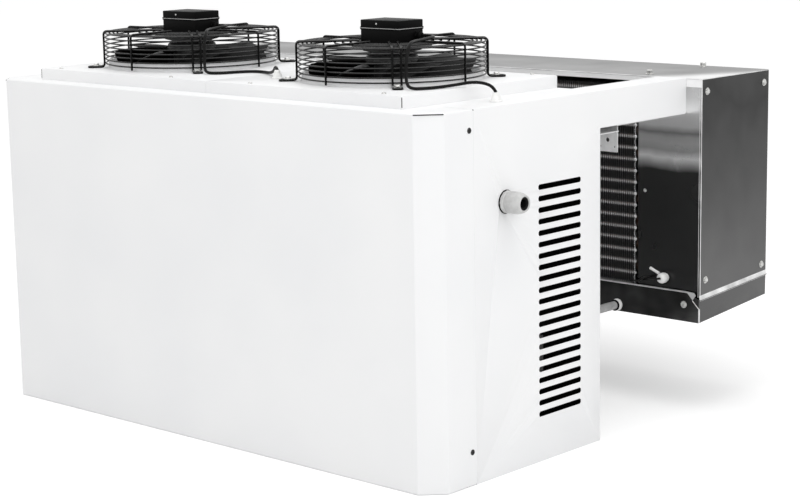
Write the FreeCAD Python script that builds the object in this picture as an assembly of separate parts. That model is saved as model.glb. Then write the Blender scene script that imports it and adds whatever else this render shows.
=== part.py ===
import FreeCAD, Part
import math
import os

# Monoblock refrigeration unit that hangs over a cold-room wall. The white condensing housing stands
# outside the room, the stainless evaporator box inside it, and two arms join them over the wall.
# Origin: centre of the housing's bottom face. +X to the right seen from the front, +Y to the back
# (towards the cold room), +Z up. All sizes are in millimetres.

os.makedirs("parts", exist_ok=True)
V = FreeCAD.Vector

# Housing
housing_width = 1140.0
housing_depth = 456.0
housing_height = 636.0
sheet = 1.5             # painted sheet steel
bevel = 37.0            # 45 degree bevel on the two front vertical edges
cover_wrap = 108.0      # how far the front cover goes round the side
seam_gap = 1.0
fold_width = 20.0       # folded edges of the panels
front_lip = 42.0        # flat strip of the cover's top in front of the fan decks
base_flange = 30.0
base_sheet = 2.0
pan_gap = 1.0
pan_fold_gap = 2.0      # from the covers' bottom folds to the pressed floor

# Side panels and arms
arm_reach = 267.0       # from the housing's back to the evaporator
arm_height = 66.0
arm_width = 63.0
arm_corner = 9.0
rail_drop = 16.0        # how far the inner rail hangs below the arm
rail_sheet = 2.0
saddle_width = 45.0
wall_thickness = 80.0   # cold-room wall that the unit hangs over
tab_width = 51.0
tab_drop = 38.0
tab_overlap = 6.0       # past the rail's inner face
tab_hole = 8.0
tab_small_hole = 4.0
tab_small_pitch = 31.0
tab_hole_drop = 16.5
tab_small_drop = 28.5

# Slots in the side panels
slot_count = 21
slot_pitch = 20.0
slot_length = 120.0
slot_height = 8.6
slot_start = 279.0      # from the front face
slot_low = 86.0

# Cable gland on the right side panel
gland_setback = 190.0
gland_height = 472.0
gland_bore = 23.0
gland_hex = 41.0
gland_hex_length = 13.0
gland_nut_hex = 36.0
gland_nut_length = 27.0
gland_dome_length = 6.5
gland_lip = 3.0
gland_thread = 32.0
gland_thread_length = 14.0
gland_hole_gap = 0.5
seal_height = 1.5
seal_rim = 2.0

# Fan decks and condenser fans
deck_height = 22.0
deck_margin = 96.0
deck_gap = 0.5
roof_rim = 34.0         # of the roof sheet under a deck's outer edge
nozzle_sides = 36
deck_edge = 1.2
fan_offset = 265.0
nozzle_radius = 156.0
nozzle_rise = 17.0      # of the rolled lip, above the deck
nozzle_depth = 30.0
guard_radius = 172.0
guard_height = 72.0
guard_ring_low = 6.0    # of the lowest ring, above the deck
guard_wire = 4.0
wire_bend = 7.0
weld_depth = 0.1        # share of a wire's thickness that a weld takes
toe_radius = 200.0
foot_width = 15.0
guard_turn_left = 6.0   # degrees, the left guard sits turned
guard_ring_sides = 24
guard_hub_sides = 16
guard_hub_radius = 60.0
guard_rings_top = 2
guard_rings_side = 2
blade_count = 7
blade_tip_gap = 6.0
blade_thickness = 2.0
blade_chord_root = 62.0
blade_chord_tip = 116.0
blade_pitch_root = 38.0
blade_pitch_tip = 22.0
blade_camber = 7.0
blade_sweep = 20.0
blade_middle = 8.0      # above the deck
blade_root_depth = 2.5  # before the rotor's round side cuts it
shaft_end = 6.0         # bottom of the rotor left under the shaft
rotor_radius = 47.0
rotor_top = 46.0        # above the deck
rotor_depth = 14.0      # below the deck
shaft_radius = 6.0
shaft_clearance = 0.1
stator_radius = 63.0
stator_height = 8.0
run_gap = 0.8
motor_seat_gap = 0.1

# Terminal boxes and fan cables
box_length = 92.0
box_width = 64.0
box_height = 26.6
box_wall = 2.0
lid_height = 14.5
lid_overhang = 1.0
lid_bevel = 2.5
box_gland_radius = 7.0
box_gland_length = 12.0
box_gland_rise = 13.0   # of its middle, above the box's floor
cable_diameter = 5.5
cord_sides = 6
grommet_radius = 11.0
grommet_height = 16.0
grommet_top_radius = 5.0
grommet_rim = 3.0

# Evaporator box
steel = 1.2             # stainless sheet
evaporator_depth = 229.0
overhang_right = 35.0
overhang_left = 171.0
front_flange = 16.0
arm_clearance = 0.5
sheet_overlap = 4.0     # of the front and rear sheets inside the tray
coil_side_space = 151.0 # from the box's right end to the coil
coil_depth = 100.0
coil_margin = 4.0       # past the window's edges
coil_gap = 1.0
end_bottom_front = 220.0
end_bottom_rear = 235.0
tray_bottom_front = 175.0
tray_bottom_rear = 194.0
tray_lip_height = 233.0
tray_lip = 3.0
tray_corner = 28.0
tray_stand_off = 4.0

# Coils
fin_pitch = 28.0
fin_thickness = 0.4
coil_tube = 10.0
coil_tube_pitch = 50.0
coil_tube_rows = 2
coil_tube_reach = 12.0
coil_row_pitch = 44.0
end_plate = 1.5
end_plate_rim = 5.0
fin_end_gap = 6.0       # from the last fin to the coil's end
condenser_height = 44.0
condenser_front_gap = 34.0
condenser_side_gap = 28.0
condenser_drop = 50.0     # below the roof

# Room fans at the evaporator's back
room_fan_offset = 235.0
room_guard_depth = 22.0
room_guard_legs = 6
room_ring_sides = 12
room_nozzle = 8.0
room_blade_count = 5

# Drain
drain_x = 418.0
drain_height = 188.0
drain_tube_radius = 8.0
drain_tube_wall = 1.5
tube_sides = 12
drain_nut_across = 24.0
drain_inside = 40.0      # of the tube inside the housing
drain_nut_length = 9.0
drain_seal_length = 3.0
drain_seal_rim = 3.0

# Sensor gland on the front strip
sensor_x = 526.0
sensor_height = 254.0
sensor_radius = 9.5
sensor_length = 19.0
sensor_lead_diameter = 4.0
sensor_hex_length = 6.0
sleeve_radius = 3.0
sleeve_left = 493.0
sleeve_right = 514.0
sleeve_high = 269.0
sleeve_low = 260.5

# Inside the housing
compressor_side_space = 146.0   # of its middle from the housing's right side
compressor_rear_space = 162.0   # of its middle from the housing's back
compressor_radius = 92.0
compressor_height = 300.0
compressor_wall = 4.0
compressor_dome = 34.0
compressor_core_radius = 62.0
compressor_core_height = 210.0
compressor_plate = 4.0
compressor_cover_depth = 26.0
compressor_cover_width = 64.0
compressor_cover_low = 120.0
compressor_cover_height = 70.0
compressor_foot_radius = 14.0
compressor_foot_height = 20.0
compressor_foot_half = 86.0
receiver_side_space = 334.0
receiver_rear_space = 102.0
receiver_radius = 51.0
receiver_height = 250.0
receiver_dome = 22.0
vessel_wall = 3.0
receiver_port = 18.0    # from the vessel's middle to each pipe
drier_radius = 24.0
drier_length = 130.0
drier_side_space = 530.0
liquid_radius = 5.0
liquid_height = 300.0
suction_radius = 14.0
suction_height = 110.0
discharge_radius = 6.0
discharge_gap = 62.0    # from the hot gas pipe up to the condenser
condensate_gap = 60.0   # from the condensate pipe up to the hot gas pipe
pipe_drop = 36.0        # of the pipes in the left arm, below the top
pipe_clearance = 4.0
pipe_turn = 24.0        # past a condenser tube's open end
suction_wall_gap = 11.0
liquid_rail_gap = 8.0
suction_rear_gap = 30.0
suction_bend = 30.0
liquid_bend = 15.0
discharge_bend = 18.0
electric_side_space = 36.0      # inside the pan's pressed floor, also at its bevel
electric_front_space = 50.0
electric_rear_space = 168.0
electric_width = 120.0
electric_height = 320.0

# Fasteners
guard_screw_head = 5.0
guard_flange = 9.0
guard_flange_height = 1.5
guard_shank = 3.0
deck_screw_inner = 105.0        # from the housing's middle
deck_screw_outer = 49.0         # from the deck's outer edge
deck_screw_margin = 10.0
screw_across = 9.0
screw_head_height = 3.5
end_screw_inset = 17.0
end_screw_drop = 24.0
end_screw_rise = 21.0
top_screw_setback = 30.0
top_screw_inset = 139.0
tray_screw_inset = 34.0
tray_screw_height = 207.5
strip_rivet_inset = 127.0
strip_rivet_height = 417.0
strip_rivet_size = 6.0
cover_screw_head = 5.0
cover_screw_height = 1.2
cover_screw_setback = 98.0
cover_screw_low = 59.0
cover_screw_drop = 34.0

# Places worked out from the sizes
half_width = housing_width / 2
front_y = -housing_depth / 2
rear_y = housing_depth / 2
seam_y = front_y + cover_wrap
arm_z = housing_height - arm_height
rail_z = arm_z - rail_drop
evaporator_y = rear_y + arm_reach
evaporator_back = evaporator_y + evaporator_depth
evaporator_right = half_width + overhang_right
evaporator_left = -half_width - overhang_left
coil_half_width = evaporator_right - coil_side_space
pipe_height = housing_height - pipe_drop
discharge_height = housing_height - condenser_drop - condenser_height - discharge_gap
condensate_height = discharge_height - condensate_gap
tray_y = evaporator_y - tray_stand_off
deck_y = front_y + front_lip
deck_half_width = half_width - deck_margin
deck_z = housing_height + deck_height
fan_y = (deck_y + rear_y) / 2
wire = guard_wire / 2
guard_top = deck_z + guard_height
hub_ring_low = guard_top - wire - guard_wire * (1 - weld_depth) - wire * math.cos(math.pi / 4)
box_z = hub_ring_low - motor_seat_gap
blade_radius = nozzle_radius - blade_tip_gap
tab_y = rear_y + wall_thickness
rail_x = half_width - arm_width
floor_z = base_sheet
compressor_x = half_width - compressor_side_space
compressor_y = rear_y - compressor_rear_space
receiver_x = half_width - receiver_side_space
receiver_y = rear_y - receiver_rear_space
drier_x = half_width - drier_side_space
coil_bottom = tray_lip_height - coil_margin
coil_top = housing_height - front_flange - coil_margin
coil_y = evaporator_y + steel + coil_gap
gland_y = front_y + gland_setback
room_fan_z = (end_bottom_rear + housing_height) / 2
suction_x = -half_width + suction_wall_gap + suction_radius
liquid_x = -rail_x - liquid_rail_gap - liquid_radius

# Routes of the cables, point by point
fan_cable_right = [(323, 37, 735.9), (345, 37, 736.5), (366, 20, 737), (378, -18, 735.5),
                   (390, -56, 735.5), (406, -90, 735), (410, -102, 710), (409, -103, 686),
                   (414, -107, 667), (430, -114, 661.2), (446, -98, 661.2), (453, -65, 661.2),
                   (462, -34, 663), (486, -22, 668), (510, -17, 667), (526, -14, 661), (530, -12, 652)]
fan_cable_left = [(-207, 37, 735.9), (-185, 37, 736.5), (-164, 20, 737), (-156, -16, 735.5),
                  (-140, -50, 735.5), (-114, -78, 735), (-109, -88, 710), (-108, -89, 686),
                  (-103, -94, 667), (-86, -104, 661.2), (-66, -98, 661.2), (-54, -72, 661.2),
                  (-44, -42, 661.2), (-18, -30, 661.2), (16, -42, 661.2), (46, -60, 667), (70, -78, 680),
                  (84, -88, 674)]
grommet_right = (530, -12, housing_height)
grommet_left = (84, -88, deck_z)
sensor_lead = [(sensor_x, 489, sensor_height), (sensor_x, 470, sensor_height),
               (518, 459, 257), (505, 460, 258), (491, 468, 252), (478, 479, 245), (464, 487, 241),
               (447, 494, 239)]



def box(x0, x1, y0, y1, z0, z1):
    """A box given by its two limits along each axis."""
    return Part.makeBox(x1 - x0, y1 - y0, z1 - z0, V(x0, y0, z0))


def rod(centre, axis, radius, length):
    """A round bar that starts at a point and runs along an axis."""
    return Part.makeCylinder(radius, length, centre, axis)


def hexagon(centre, axis, across, length):
    """A hexagonal prism, such as a nut or a screw head."""
    radius = across / math.sqrt(3)
    side = V(0, 0, 1) if abs(axis.z) < 0.9 else V(1, 0, 0)
    up = axis.cross(side)
    corners = []
    for i in range(7):
        turn = math.radians(60 * i)
        corners.append(centre + side * (radius * math.cos(turn)) + up * (radius * math.sin(turn)))
    return Part.Face(Part.makePolygon(corners)).extrude(axis * length)


def prism(points, axis, length):
    """A closed outline, given as 3D points in one plane, pushed along an axis."""
    return Part.Face(Part.makePolygon(points + points[:1])).extrude(axis * length)


def mirrored(shape):
    """The left-hand copy of a right-hand piece."""
    return shape.mirror(V(0, 0, 0), V(1, 0, 0))


def bar(points, radius, sides=6, closed=False):
    """A round wire or pipe made of straight runs that meet in mitres."""
    count = len(points)
    runs = []
    for i in range(count if closed else count - 1):
        step = points[(i + 1) % count] - points[i]
        runs.append(step.normalize())
    start = runs[0]
    side = start.cross(V(0, 0, 1) if abs(start.z) < 0.9 else V(1, 0, 0)).normalize()
    up = start.cross(side)
    ring = []
    for k in range(sides):
        turn = 2 * math.pi * (k + 0.5) / sides
        ring.append(points[0] + side * (radius * math.cos(turn)) + up * (radius * math.sin(turn)))
    if closed:
        ring = slide_to_plane(ring, start, points[0], runs[-1] + start)
    rings = [ring]
    for i, run in enumerate(runs):
        corner = points[(i + 1) % count]
        last = not closed and i == len(runs) - 1
        normal = run if last else run + runs[(i + 1) % len(runs)]
        rings.append(slide_to_plane(rings[-1], run, corner, normal))
    if closed:
        rings[-1] = rings[0]
    faces = []
    for first, second in zip(rings, rings[1:]):
        for k in range(sides):
            m = (k + 1) % sides
            faces.append(flat([first[k], first[m], second[m], second[k]]))
    if not closed:
        faces.append(flat(rings[0]))
        faces.append(flat(rings[-1]))
    return solid_of(faces)


def lathe(profile, sides, centre, axis):
    """A turned piece with flat facets. The profile holds (radius, height) pairs from axis to axis."""
    side = axis.cross(V(0, 0, 1) if abs(axis.z) < 0.9 else V(1, 0, 0)).normalize()
    up = axis.cross(side)

    def ring(radius, height):
        middle = centre + axis * height
        points = []
        for k in range(sides):
            turn = 2 * math.pi * (k + 0.5) / sides
            points.append(middle + side * (radius * math.cos(turn)) + up * (radius * math.sin(turn)))
        return points

    faces = []
    for (r0, h0), (r1, h1) in zip(profile, profile[1:]):
        first = ring(r0, h0)
        second = ring(r1, h1)
        if h0 == h1 and min(r0, r1) == 0:
            faces.append(flat(first if r1 == 0 else second))
            continue
        for k in range(sides):
            m = (k + 1) % sides
            if r0 == 0:
                faces.append(flat([first[k], second[m], second[k]]))
            elif r1 == 0:
                faces.append(flat([first[k], first[m], second[k]]))
            else:
                faces.append(flat([first[k], first[m], second[m], second[k]]))
    return solid_of(faces)


def facet_rod(centre, axis, radius, length, sides):
    """A round bar with flat facets, for pieces whose roundness does not matter."""
    return lathe([(0, 0), (radius, 0), (radius, length), (0, length)], sides, centre, axis)


def solid_of(faces):
    """A solid inside a closed set of flat faces."""
    shell = Part.Shell(faces)
    shell.sewShape()
    solid = Part.Solid(Part.Shell(shell.Faces))
    if solid.Volume < 0:
        solid.reverse()
    return solid


def slide_to_plane(ring, direction, corner, normal):
    """Moves each point along a direction until it lies in a plane."""
    moved = []
    for point in ring:
        travel = (corner - point).dot(normal) / direction.dot(normal)
        moved.append(point + direction * travel)
    return moved


def flat(corners):
    """A flat face with straight edges."""
    return Part.Face(Part.makePolygon(list(corners) + [corners[0]]))


def bend_points(before, corner, after, bend, steps):
    """Points along the arc that rounds one corner of a route."""
    back = (before - corner).normalize()
    ahead = (after - corner).normalize()
    half_turn = (math.pi - back.getAngle(ahead)) / 2
    reach = bend * math.tan(half_turn)
    centre = corner + (back + ahead).normalize() * (bend / math.cos(half_turn))
    start = corner + back * reach - centre
    end = corner + ahead * reach - centre
    sweep = 2 * half_turn
    points = []
    for i in range(steps + 1):
        share = i / steps
        a = math.sin((1 - share) * sweep) / math.sin(sweep)
        b = math.sin(share * sweep) / math.sin(sweep)
        points.append(centre + start * a + end * b)
    return points


def rounded(points, bend, steps=3):
    """A route whose corners are rounded to one radius."""
    route = [points[0]]
    for before, corner, after in zip(points, points[1:], points[2:]):
        route += bend_points(before, corner, after, bend, steps)
    route.append(points[-1])
    return route


def widest_bend(before, corner, after):
    """Radius of the largest arc that fits at a point of a cord's route."""
    back = before - corner
    ahead = after - corner
    half_turn = (math.pi - back.getAngle(ahead)) / 2
    return 0.45 * min(back.Length, ahead.Length) / math.tan(half_turn)


def cord_tube(name, points, diameter):
    """A cord as straight runs joined by tangent bends, in flat facets. Prints the radii and the length."""
    points = [V(*point) for point in points]
    route = [points[0]]
    radii = []
    for before, corner, after in zip(points, points[1:], points[2:]):
        radius = widest_bend(before, corner, after)
        route += bend_points(before, corner, after, radius, 2)
        radii.append(round(radius, 1))
    route.append(points[-1])
    tube = bar(route, diameter / 2, cord_sides)
    length = sum((b - a).Length for a, b in zip(route, route[1:]))
    area = cord_sides * (diameter / 2) ** 2 * math.sin(2 * math.pi / cord_sides) / 2
    print(name, "length", round(length, 1), "radii", radii, "volume share", round(tube.Volume / (area * length), 4))
    return tube


def plan_outline(inset, z):
    """The housing's outline seen from above, up to the side seams."""
    x = half_width - inset
    y = front_y + inset
    cut = inset * (math.sqrt(2) - 1)
    corner_y = front_y + bevel + cut
    corner_x = half_width - bevel - cut
    return [V(x, seam_y, z), V(x, corner_y, z), V(corner_x, y, z),
            V(-corner_x, y, z), V(-x, corner_y, z), V(-x, seam_y, z)]


def front_cover():
    """Front, bevels and the start of both sides in one folded sheet, with a top and a bottom fold."""
    outer = prism(plan_outline(0, 0), V(0, 0, 1), housing_height)
    inner = prism(plan_outline(sheet, -1), V(0, 0, 1), housing_height + 2)
    cover = outer.cut(inner)
    top = prism(plan_outline(sheet, housing_height - sheet), V(0, 0, 1), sheet)
    top = top.cut(box(-rail_x, rail_x, deck_y, rear_y, 0, 2 * housing_height))
    bottom = prism(plan_outline(sheet, 0), V(0, 0, 1), sheet)
    bottom = bottom.cut(prism(plan_outline(fold_width, -1), V(0, 0, 1), 3 * sheet))
    return cover.fuse([top, bottom]).removeSplitter()


def slot(y, z):
    """One slot through the right side panel. Its round ends have three flats each."""
    radius = slot_height / 2
    corner = radius * math.tan(math.pi / 8)
    x = half_width - 3 * sheet
    far = y + slot_length
    outline = [V(x, y + radius - corner, z - radius), V(x, far - radius + corner, z - radius),
               V(x, far, z - corner), V(x, far, z + corner),
               V(x, far - radius + corner, z + radius), V(x, y + radius - corner, z + radius),
               V(x, y, z + corner), V(x, y, z - corner)]
    return prism(outline, V(1, 0, 0), 5 * sheet)


def side_panel(gland_hole, pipe_hole):
    """Right side panel with its arm in one folded sheet. The left one is its mirror image."""
    y0 = seam_y + seam_gap
    x0 = half_width - sheet
    profile = [V(x0, y0, 0), V(x0, rear_y, 0), V(x0, rear_y, arm_z),
               V(x0, evaporator_y - arm_corner, arm_z), V(x0, evaporator_y, arm_z + arm_corner),
               V(x0, evaporator_y, housing_height), V(x0, y0, housing_height)]
    panel = prism(profile, V(1, 0, 0), sheet)
    top = box(rail_x, half_width, y0, evaporator_y, housing_height - sheet, housing_height)
    bottom = box(half_width - fold_width, half_width, y0, rear_y, 0, sheet)
    back = box(half_width - fold_width, half_width, rear_y - sheet, rear_y, 0, arm_z)
    end = box(rail_x + rail_sheet, half_width, evaporator_y - sheet, evaporator_y,
              arm_z + arm_corner, housing_height)
    panel = panel.fuse([top, bottom, back, end]).removeSplitter()
    cuts = []
    for i in range(slot_count):
        cuts.append(slot(front_y + slot_start, slot_low + i * slot_pitch))
    if gland_hole:
        cuts.append(rod(V(x0 - sheet, gland_y, gland_height), V(1, 0, 0), gland_thread / 2 + gland_hole_gap,
                        4 * sheet))
    if pipe_hole:
        cuts.append(mirrored(pipe_opening(evaporator_y - 3 * sheet, evaporator_y + sheet)))
    return panel.cut(Part.makeCompound(cuts))


def pipe_opening(y0, y1):
    """Opening for the two pipes that run inside the left arm."""
    gap = pipe_clearance
    reach = suction_radius + gap
    return box(suction_x - reach, liquid_x + liquid_radius + gap, y0, y1,
               pipe_height - reach, pipe_height + reach)


def pan_outline(inset, z):
    """The base pan's outline, inside the covers."""
    x = half_width - sheet - pan_gap - inset
    y0 = front_y + sheet + pan_gap + inset
    y1 = rear_y - 2 * sheet - pan_gap - inset
    cut = bevel - inset * (2 - math.sqrt(2))
    return [V(x, y1, z), V(x, y0 + cut, z), V(x - cut, y0, z), V(-x + cut, y0, z),
            V(-x, y0 + cut, z), V(-x, y1, z)]


def base_pan():
    """Folded pan that carries the machinery. Its floor is pressed down between the covers' bottom folds."""
    well = fold_width + pan_fold_gap
    rim = prism(pan_outline(0, sheet), V(0, 0, 1), base_flange)
    floor = prism(pan_outline(well, 0), V(0, 0, 1), base_flange)
    inside = prism(pan_outline(base_sheet, sheet + base_sheet), V(0, 0, 1), base_flange)
    deep = prism(pan_outline(well + base_sheet, floor_z), V(0, 0, 1), base_flange)
    return rim.fuse(floor).cut(inside.fuse(deep)).removeSplitter()


def rear_panel():
    """Flat sheet that closes the housing towards the wall, open for the drain and the pipes."""
    x = half_width - sheet
    panel = box(-x, x, rear_y - 2 * sheet, rear_y - sheet, sheet, housing_height - sheet)
    hole = facet_rod(V(drain_x, rear_y - 5 * sheet, drain_height), V(0, 1, 0), drain_tube_radius + 1.5,
                     9 * sheet, 12)
    return panel.cut(hole).cut(pipe_opening(rear_y - 4 * sheet, rear_y))


def top_panel():
    """Roof sheet under the decks, open under each fan."""
    panel = box(-rail_x, rail_x, deck_y, rear_y, housing_height - sheet, housing_height)
    far = deck_half_width - roof_rim
    window = box(fold_width, far, deck_y + fold_width, rear_y - fold_width - sheet,
                 housing_height - 2 * sheet, housing_height + sheet)
    return panel.cut(window).cut(mirrored(window))


def fan_deck():
    """Raised right deck: a pressed pan upside down, with a nozzle ring round the fan."""
    x0 = deck_gap / 2
    outer = box(x0, deck_half_width, deck_y, rear_y, housing_height, deck_z)
    outer = outer.makeChamfer(deck_edge, top_edges(outer))
    inner = box(x0 + sheet, deck_half_width - sheet, deck_y + sheet, rear_y - sheet,
                housing_height - 1, deck_z - sheet)
    deck = outer.cut(inner)
    bottom = deck_z - nozzle_depth
    height = nozzle_depth + nozzle_rise
    centre = V(fan_offset, fan_y, bottom)
    ring = facet_rod(centre, V(0, 0, 1), nozzle_radius + sheet, height, nozzle_sides)
    hole = facet_rod(centre - V(0, 0, height), V(0, 0, 1), nozzle_radius, 3 * height, nozzle_sides)
    return deck.fuse(ring).cut(hole).removeSplitter()


def top_edges(shape):
    """The edges of a shape's highest face."""
    top = shape.BoundBox.ZMax - 0.01
    edges = []
    for edge in shape.Edges:
        if min(v.Point.z for v in edge.Vertexes) > top:
            edges.append(edge)
    return edges


def polar(centre, radius, degrees, z):
    """A point round a vertical axis."""
    turn = math.radians(degrees)
    return V(centre.x + radius * math.cos(turn), centre.y + radius * math.sin(turn), z)


def ring_wire(centre, turn, radius, z, sides):
    """One closed guard ring."""
    points = []
    for i in range(sides):
        points.append(polar(centre, radius, turn + 360.0 * i / sides, z))
    return bar(points, wire, 4, True)


def foot_loop(centre, degrees, inner):
    """A wire that comes out from the hub ring, goes down, round the screw and back."""
    top = guard_top - wire
    low = deck_z + wire
    side = V(-math.sin(math.radians(degrees)), math.cos(math.radians(degrees)), 0) * (foot_width / 2)
    out = [polar(centre, inner, degrees, top), polar(centre, guard_radius, degrees, top),
           polar(centre, guard_radius, degrees, low), polar(centre, toe_radius, degrees, low)]
    there = [point + side for point in out]
    back = [point - side for point in reversed(out)]
    route = rounded(there, wire_bend, 1) + rounded(back, wire_bend, 1)
    return bar(route, wire, 4)


def spoke(centre, degrees, inner):
    """A single wire from the hub ring down to the lowest ring."""
    top = guard_top - wire
    low = deck_z + guard_ring_low
    points = [polar(centre, inner, degrees, top), polar(centre, guard_radius, degrees, top),
              polar(centre, guard_radius, degrees, low)]
    return bar(rounded(points, wire_bend, 1), wire, 4)


def fan_guard(centre, turn):
    """Wire guard of one condenser fan: rings, four feet and four spokes, welded together."""
    pieces = []
    inner_gap = guard_wire * (1 - weld_depth)
    low = deck_z + guard_ring_low + wire
    rise = (guard_height - guard_ring_low - 4 * guard_wire) / guard_rings_side
    for i in range(guard_rings_side):
        pieces.append(ring_wire(centre, turn, guard_radius - inner_gap, low + i * rise, guard_ring_sides))
    step = (guard_radius - 2 * guard_wire - guard_hub_radius) / guard_rings_top
    for i in range(guard_rings_top + 1):
        sides = guard_ring_sides if i == guard_rings_top else guard_hub_sides
        pieces.append(ring_wire(centre, turn, guard_hub_radius + i * step, guard_top - wire - inner_gap, sides))
    for i in range(4):
        pieces.append(foot_loop(centre, turn + 45 + 90 * i, guard_hub_radius - wire))
        pieces.append(spoke(centre, turn + 90 * i, guard_hub_radius - wire))
    return Part.makeCompound(pieces)


def fan_motor(centre):
    """Fixed part of the external-rotor motor: flange under the guard's hub ring and the box, and shaft."""
    flange = facet_rod(V(centre.x, centre.y, box_z - stator_height), V(0, 0, 1), stator_radius,
                       stator_height, 16)
    shaft_low = deck_z - rotor_depth + shaft_end
    shaft = rod(V(centre.x, centre.y, shaft_low), V(0, 0, 1), shaft_radius, box_z - shaft_low - 1)
    return flange.fuse(shaft).removeSplitter()


def blade(centre, z_middle, root, tip, degrees):
    """One sickle blade: a cambered sheet that turns flatter and sweeps back from root to tip."""
    sections = []
    stations = ((root, blade_chord_root, blade_pitch_root, 0.0),
                ((root + tip) / 2, (blade_chord_root + blade_chord_tip) / 2,
                 (blade_pitch_root + blade_pitch_tip) / 2, blade_sweep / 3),
                (tip, blade_chord_tip, blade_pitch_tip, blade_sweep))
    for radius, chord, pitch, sweep in stations:
        tilt = math.radians(pitch)
        upper = []
        lower = []
        for share in (-0.5, 0.0, 0.5):
            along = share * chord
            lift = blade_camber * (1 - 4 * share * share)
            climb = along * math.sin(tilt) + lift * math.cos(tilt)
            run = along * math.cos(tilt) - lift * math.sin(tilt)
            angle = degrees + math.degrees(run / radius) + sweep
            upper.append(polar(centre, radius, angle, z_middle + climb + blade_thickness / 2))
            lower.append(polar(centre, radius, angle, z_middle + climb - blade_thickness / 2))
        sections.append(upper + lower[::-1])
    count = len(sections[0])
    faces = []
    for first, second in zip(sections, sections[1:]):
        for i in range(count):
            j = (i + 1) % count
            if i < count / 2:
                faces.append(flat([first[i], first[j], second[j]]))
                faces.append(flat([first[i], second[j], second[i]]))
            else:
                faces.append(flat([first[i], first[j], second[i]]))
                faces.append(flat([first[j], second[j], second[i]]))
    for section in (sections[0], sections[-1]):
        for i in range(2):
            a, b, c, d = section[i], section[i + 1], section[count - 2 - i], section[count - 1 - i]
            faces.append(flat([a, b, c]))
            faces.append(flat([a, c, d]))
    return solid_of(faces)


def impeller(blades):
    """Rotor can about the Z axis, bored for the shaft, with its blades on it. The can stands on Z = 0."""
    height = rotor_top + rotor_depth
    can = facet_rod(V(0, 0, 0), V(0, 0, 1), rotor_radius, height, 18)
    root = rotor_radius - blade_root_depth
    middle = rotor_depth + blade_middle
    bore = rod(V(0, 0, shaft_end - run_gap), V(0, 0, 1), shaft_radius + shaft_clearance, 2 * height)
    pieces = [can.cut(bore)]
    for i in range(blades):
        pieces.append(blade(V(0, 0, 0), middle, root, blade_radius, 360.0 * i / blades).cut(can))
    return Part.makeCompound(pieces)


def fan_impeller(centre):
    """Rotor and blades of a condenser fan. It turns on the shaft with a running clearance."""
    rotor = impeller(blade_count)
    rotor.translate(V(centre.x, centre.y, deck_z - rotor_depth))
    return rotor


def terminal_box(centre):
    """Open box on the guard's hub, with a small gland for the cable on its right face."""
    x = box_length / 2
    y = box_width / 2
    outer = box(centre.x - x, centre.x + x, centre.y - y, centre.y + y, box_z, box_z + box_height)
    wall = box_wall
    inner = box(centre.x - x + wall, centre.x + x - wall, centre.y - y + wall, centre.y + y - wall,
                box_z + wall, box_z + box_height + wall)
    body = outer.cut(inner)
    gland = facet_rod(box_exit(centre) - V(box_gland_length + 1, 0, 0), V(1, 0, 0), box_gland_radius,
                      box_gland_length + 1, 10)
    return body.fuse(gland).removeSplitter()


def box_exit(centre):
    """Mouth of the terminal box's gland."""
    return V(centre.x + box_length / 2 + box_gland_length, centre.y + box_width / 4,
             box_z + box_gland_rise)


def terminal_lid(centre):
    """Lid of a terminal box, with bevelled upper edges."""
    x = box_length / 2 + lid_overhang
    y = box_width / 2 + lid_overhang
    z = box_z + box_height
    lid = box(centre.x - x, centre.x + x, centre.y - y, centre.y + y, z, z + lid_height)
    return lid.makeChamfer(lid_bevel, top_edges(lid))


def grommet(centre, cable):
    """Cone-shaped cable entry with a rim. The cable's end sits in its tip."""
    profile = [(0, 0), (grommet_radius, 0), (grommet_radius, grommet_rim),
               (grommet_top_radius, grommet_height), (0, grommet_height)]
    return lathe(profile, 12, V(*centre), V(0, 0, 1)).cut(cable)


def screw(centre, axis):
    """A hexagonal screw head."""
    return hexagon(centre, axis, screw_across, screw_head_height)


def compressor():
    """Hermetic compressor: a domed shell round its motor and pump, foot plate and terminal cover."""
    half = compressor_foot_half + compressor_foot_radius
    z = floor_z + compressor_foot_height
    base = z + compressor_plate
    centre = V(compressor_x, compressor_y, base)
    plate = box(compressor_x - half, compressor_x + half, compressor_y - half, compressor_y + half, z, base)
    shells = []
    for inset in (0, compressor_wall):
        r = compressor_radius - inset
        top = compressor_height - inset
        dome = compressor_dome
        profile = [(0, inset), (r * 0.8, inset), (r, dome * 0.5), (r, top - dome),
                   (r * 0.78, top - dome * 0.3), (r * 0.4, top), (0, top)]
        shells.append(lathe(profile, 16, centre, V(0, 0, 1)))
    side = compressor_x + compressor_radius
    low = base + compressor_cover_low
    cover = box(side - compressor_wall * 3, side + compressor_cover_depth,
                compressor_y - compressor_cover_width / 2, compressor_y + compressor_cover_width / 2,
                low, low + compressor_cover_height)
    core = facet_rod(centre, V(0, 0, 1), compressor_core_radius, compressor_core_height, 12)
    return plate.fuse([shells[0], cover]).removeSplitter().cut(shells[1].cut(core))


def compressor_feet():
    """Four rubber feet under the compressor's plate."""
    feet = []
    for sx in (1, -1):
        for sy in (1, -1):
            place = V(compressor_x + sx * compressor_foot_half, compressor_y + sy * compressor_foot_half,
                      floor_z)
            feet.append(facet_rod(place, V(0, 0, 1), compressor_foot_radius, compressor_foot_height, 10))
    return Part.makeCompound(feet)


def fins(x0, x1, y0, y1, z0, z1):
    """A row of thin fins across the X direction."""
    count = int((x1 - x0) / fin_pitch)
    step = (x1 - x0 - fin_thickness) / count
    plates = []
    for i in range(count + 1):
        x = x0 + i * step
        plates.append(box(x, x + fin_thickness, y0, y1, z0, z1))
    return Part.makeCompound(plates)


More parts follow.
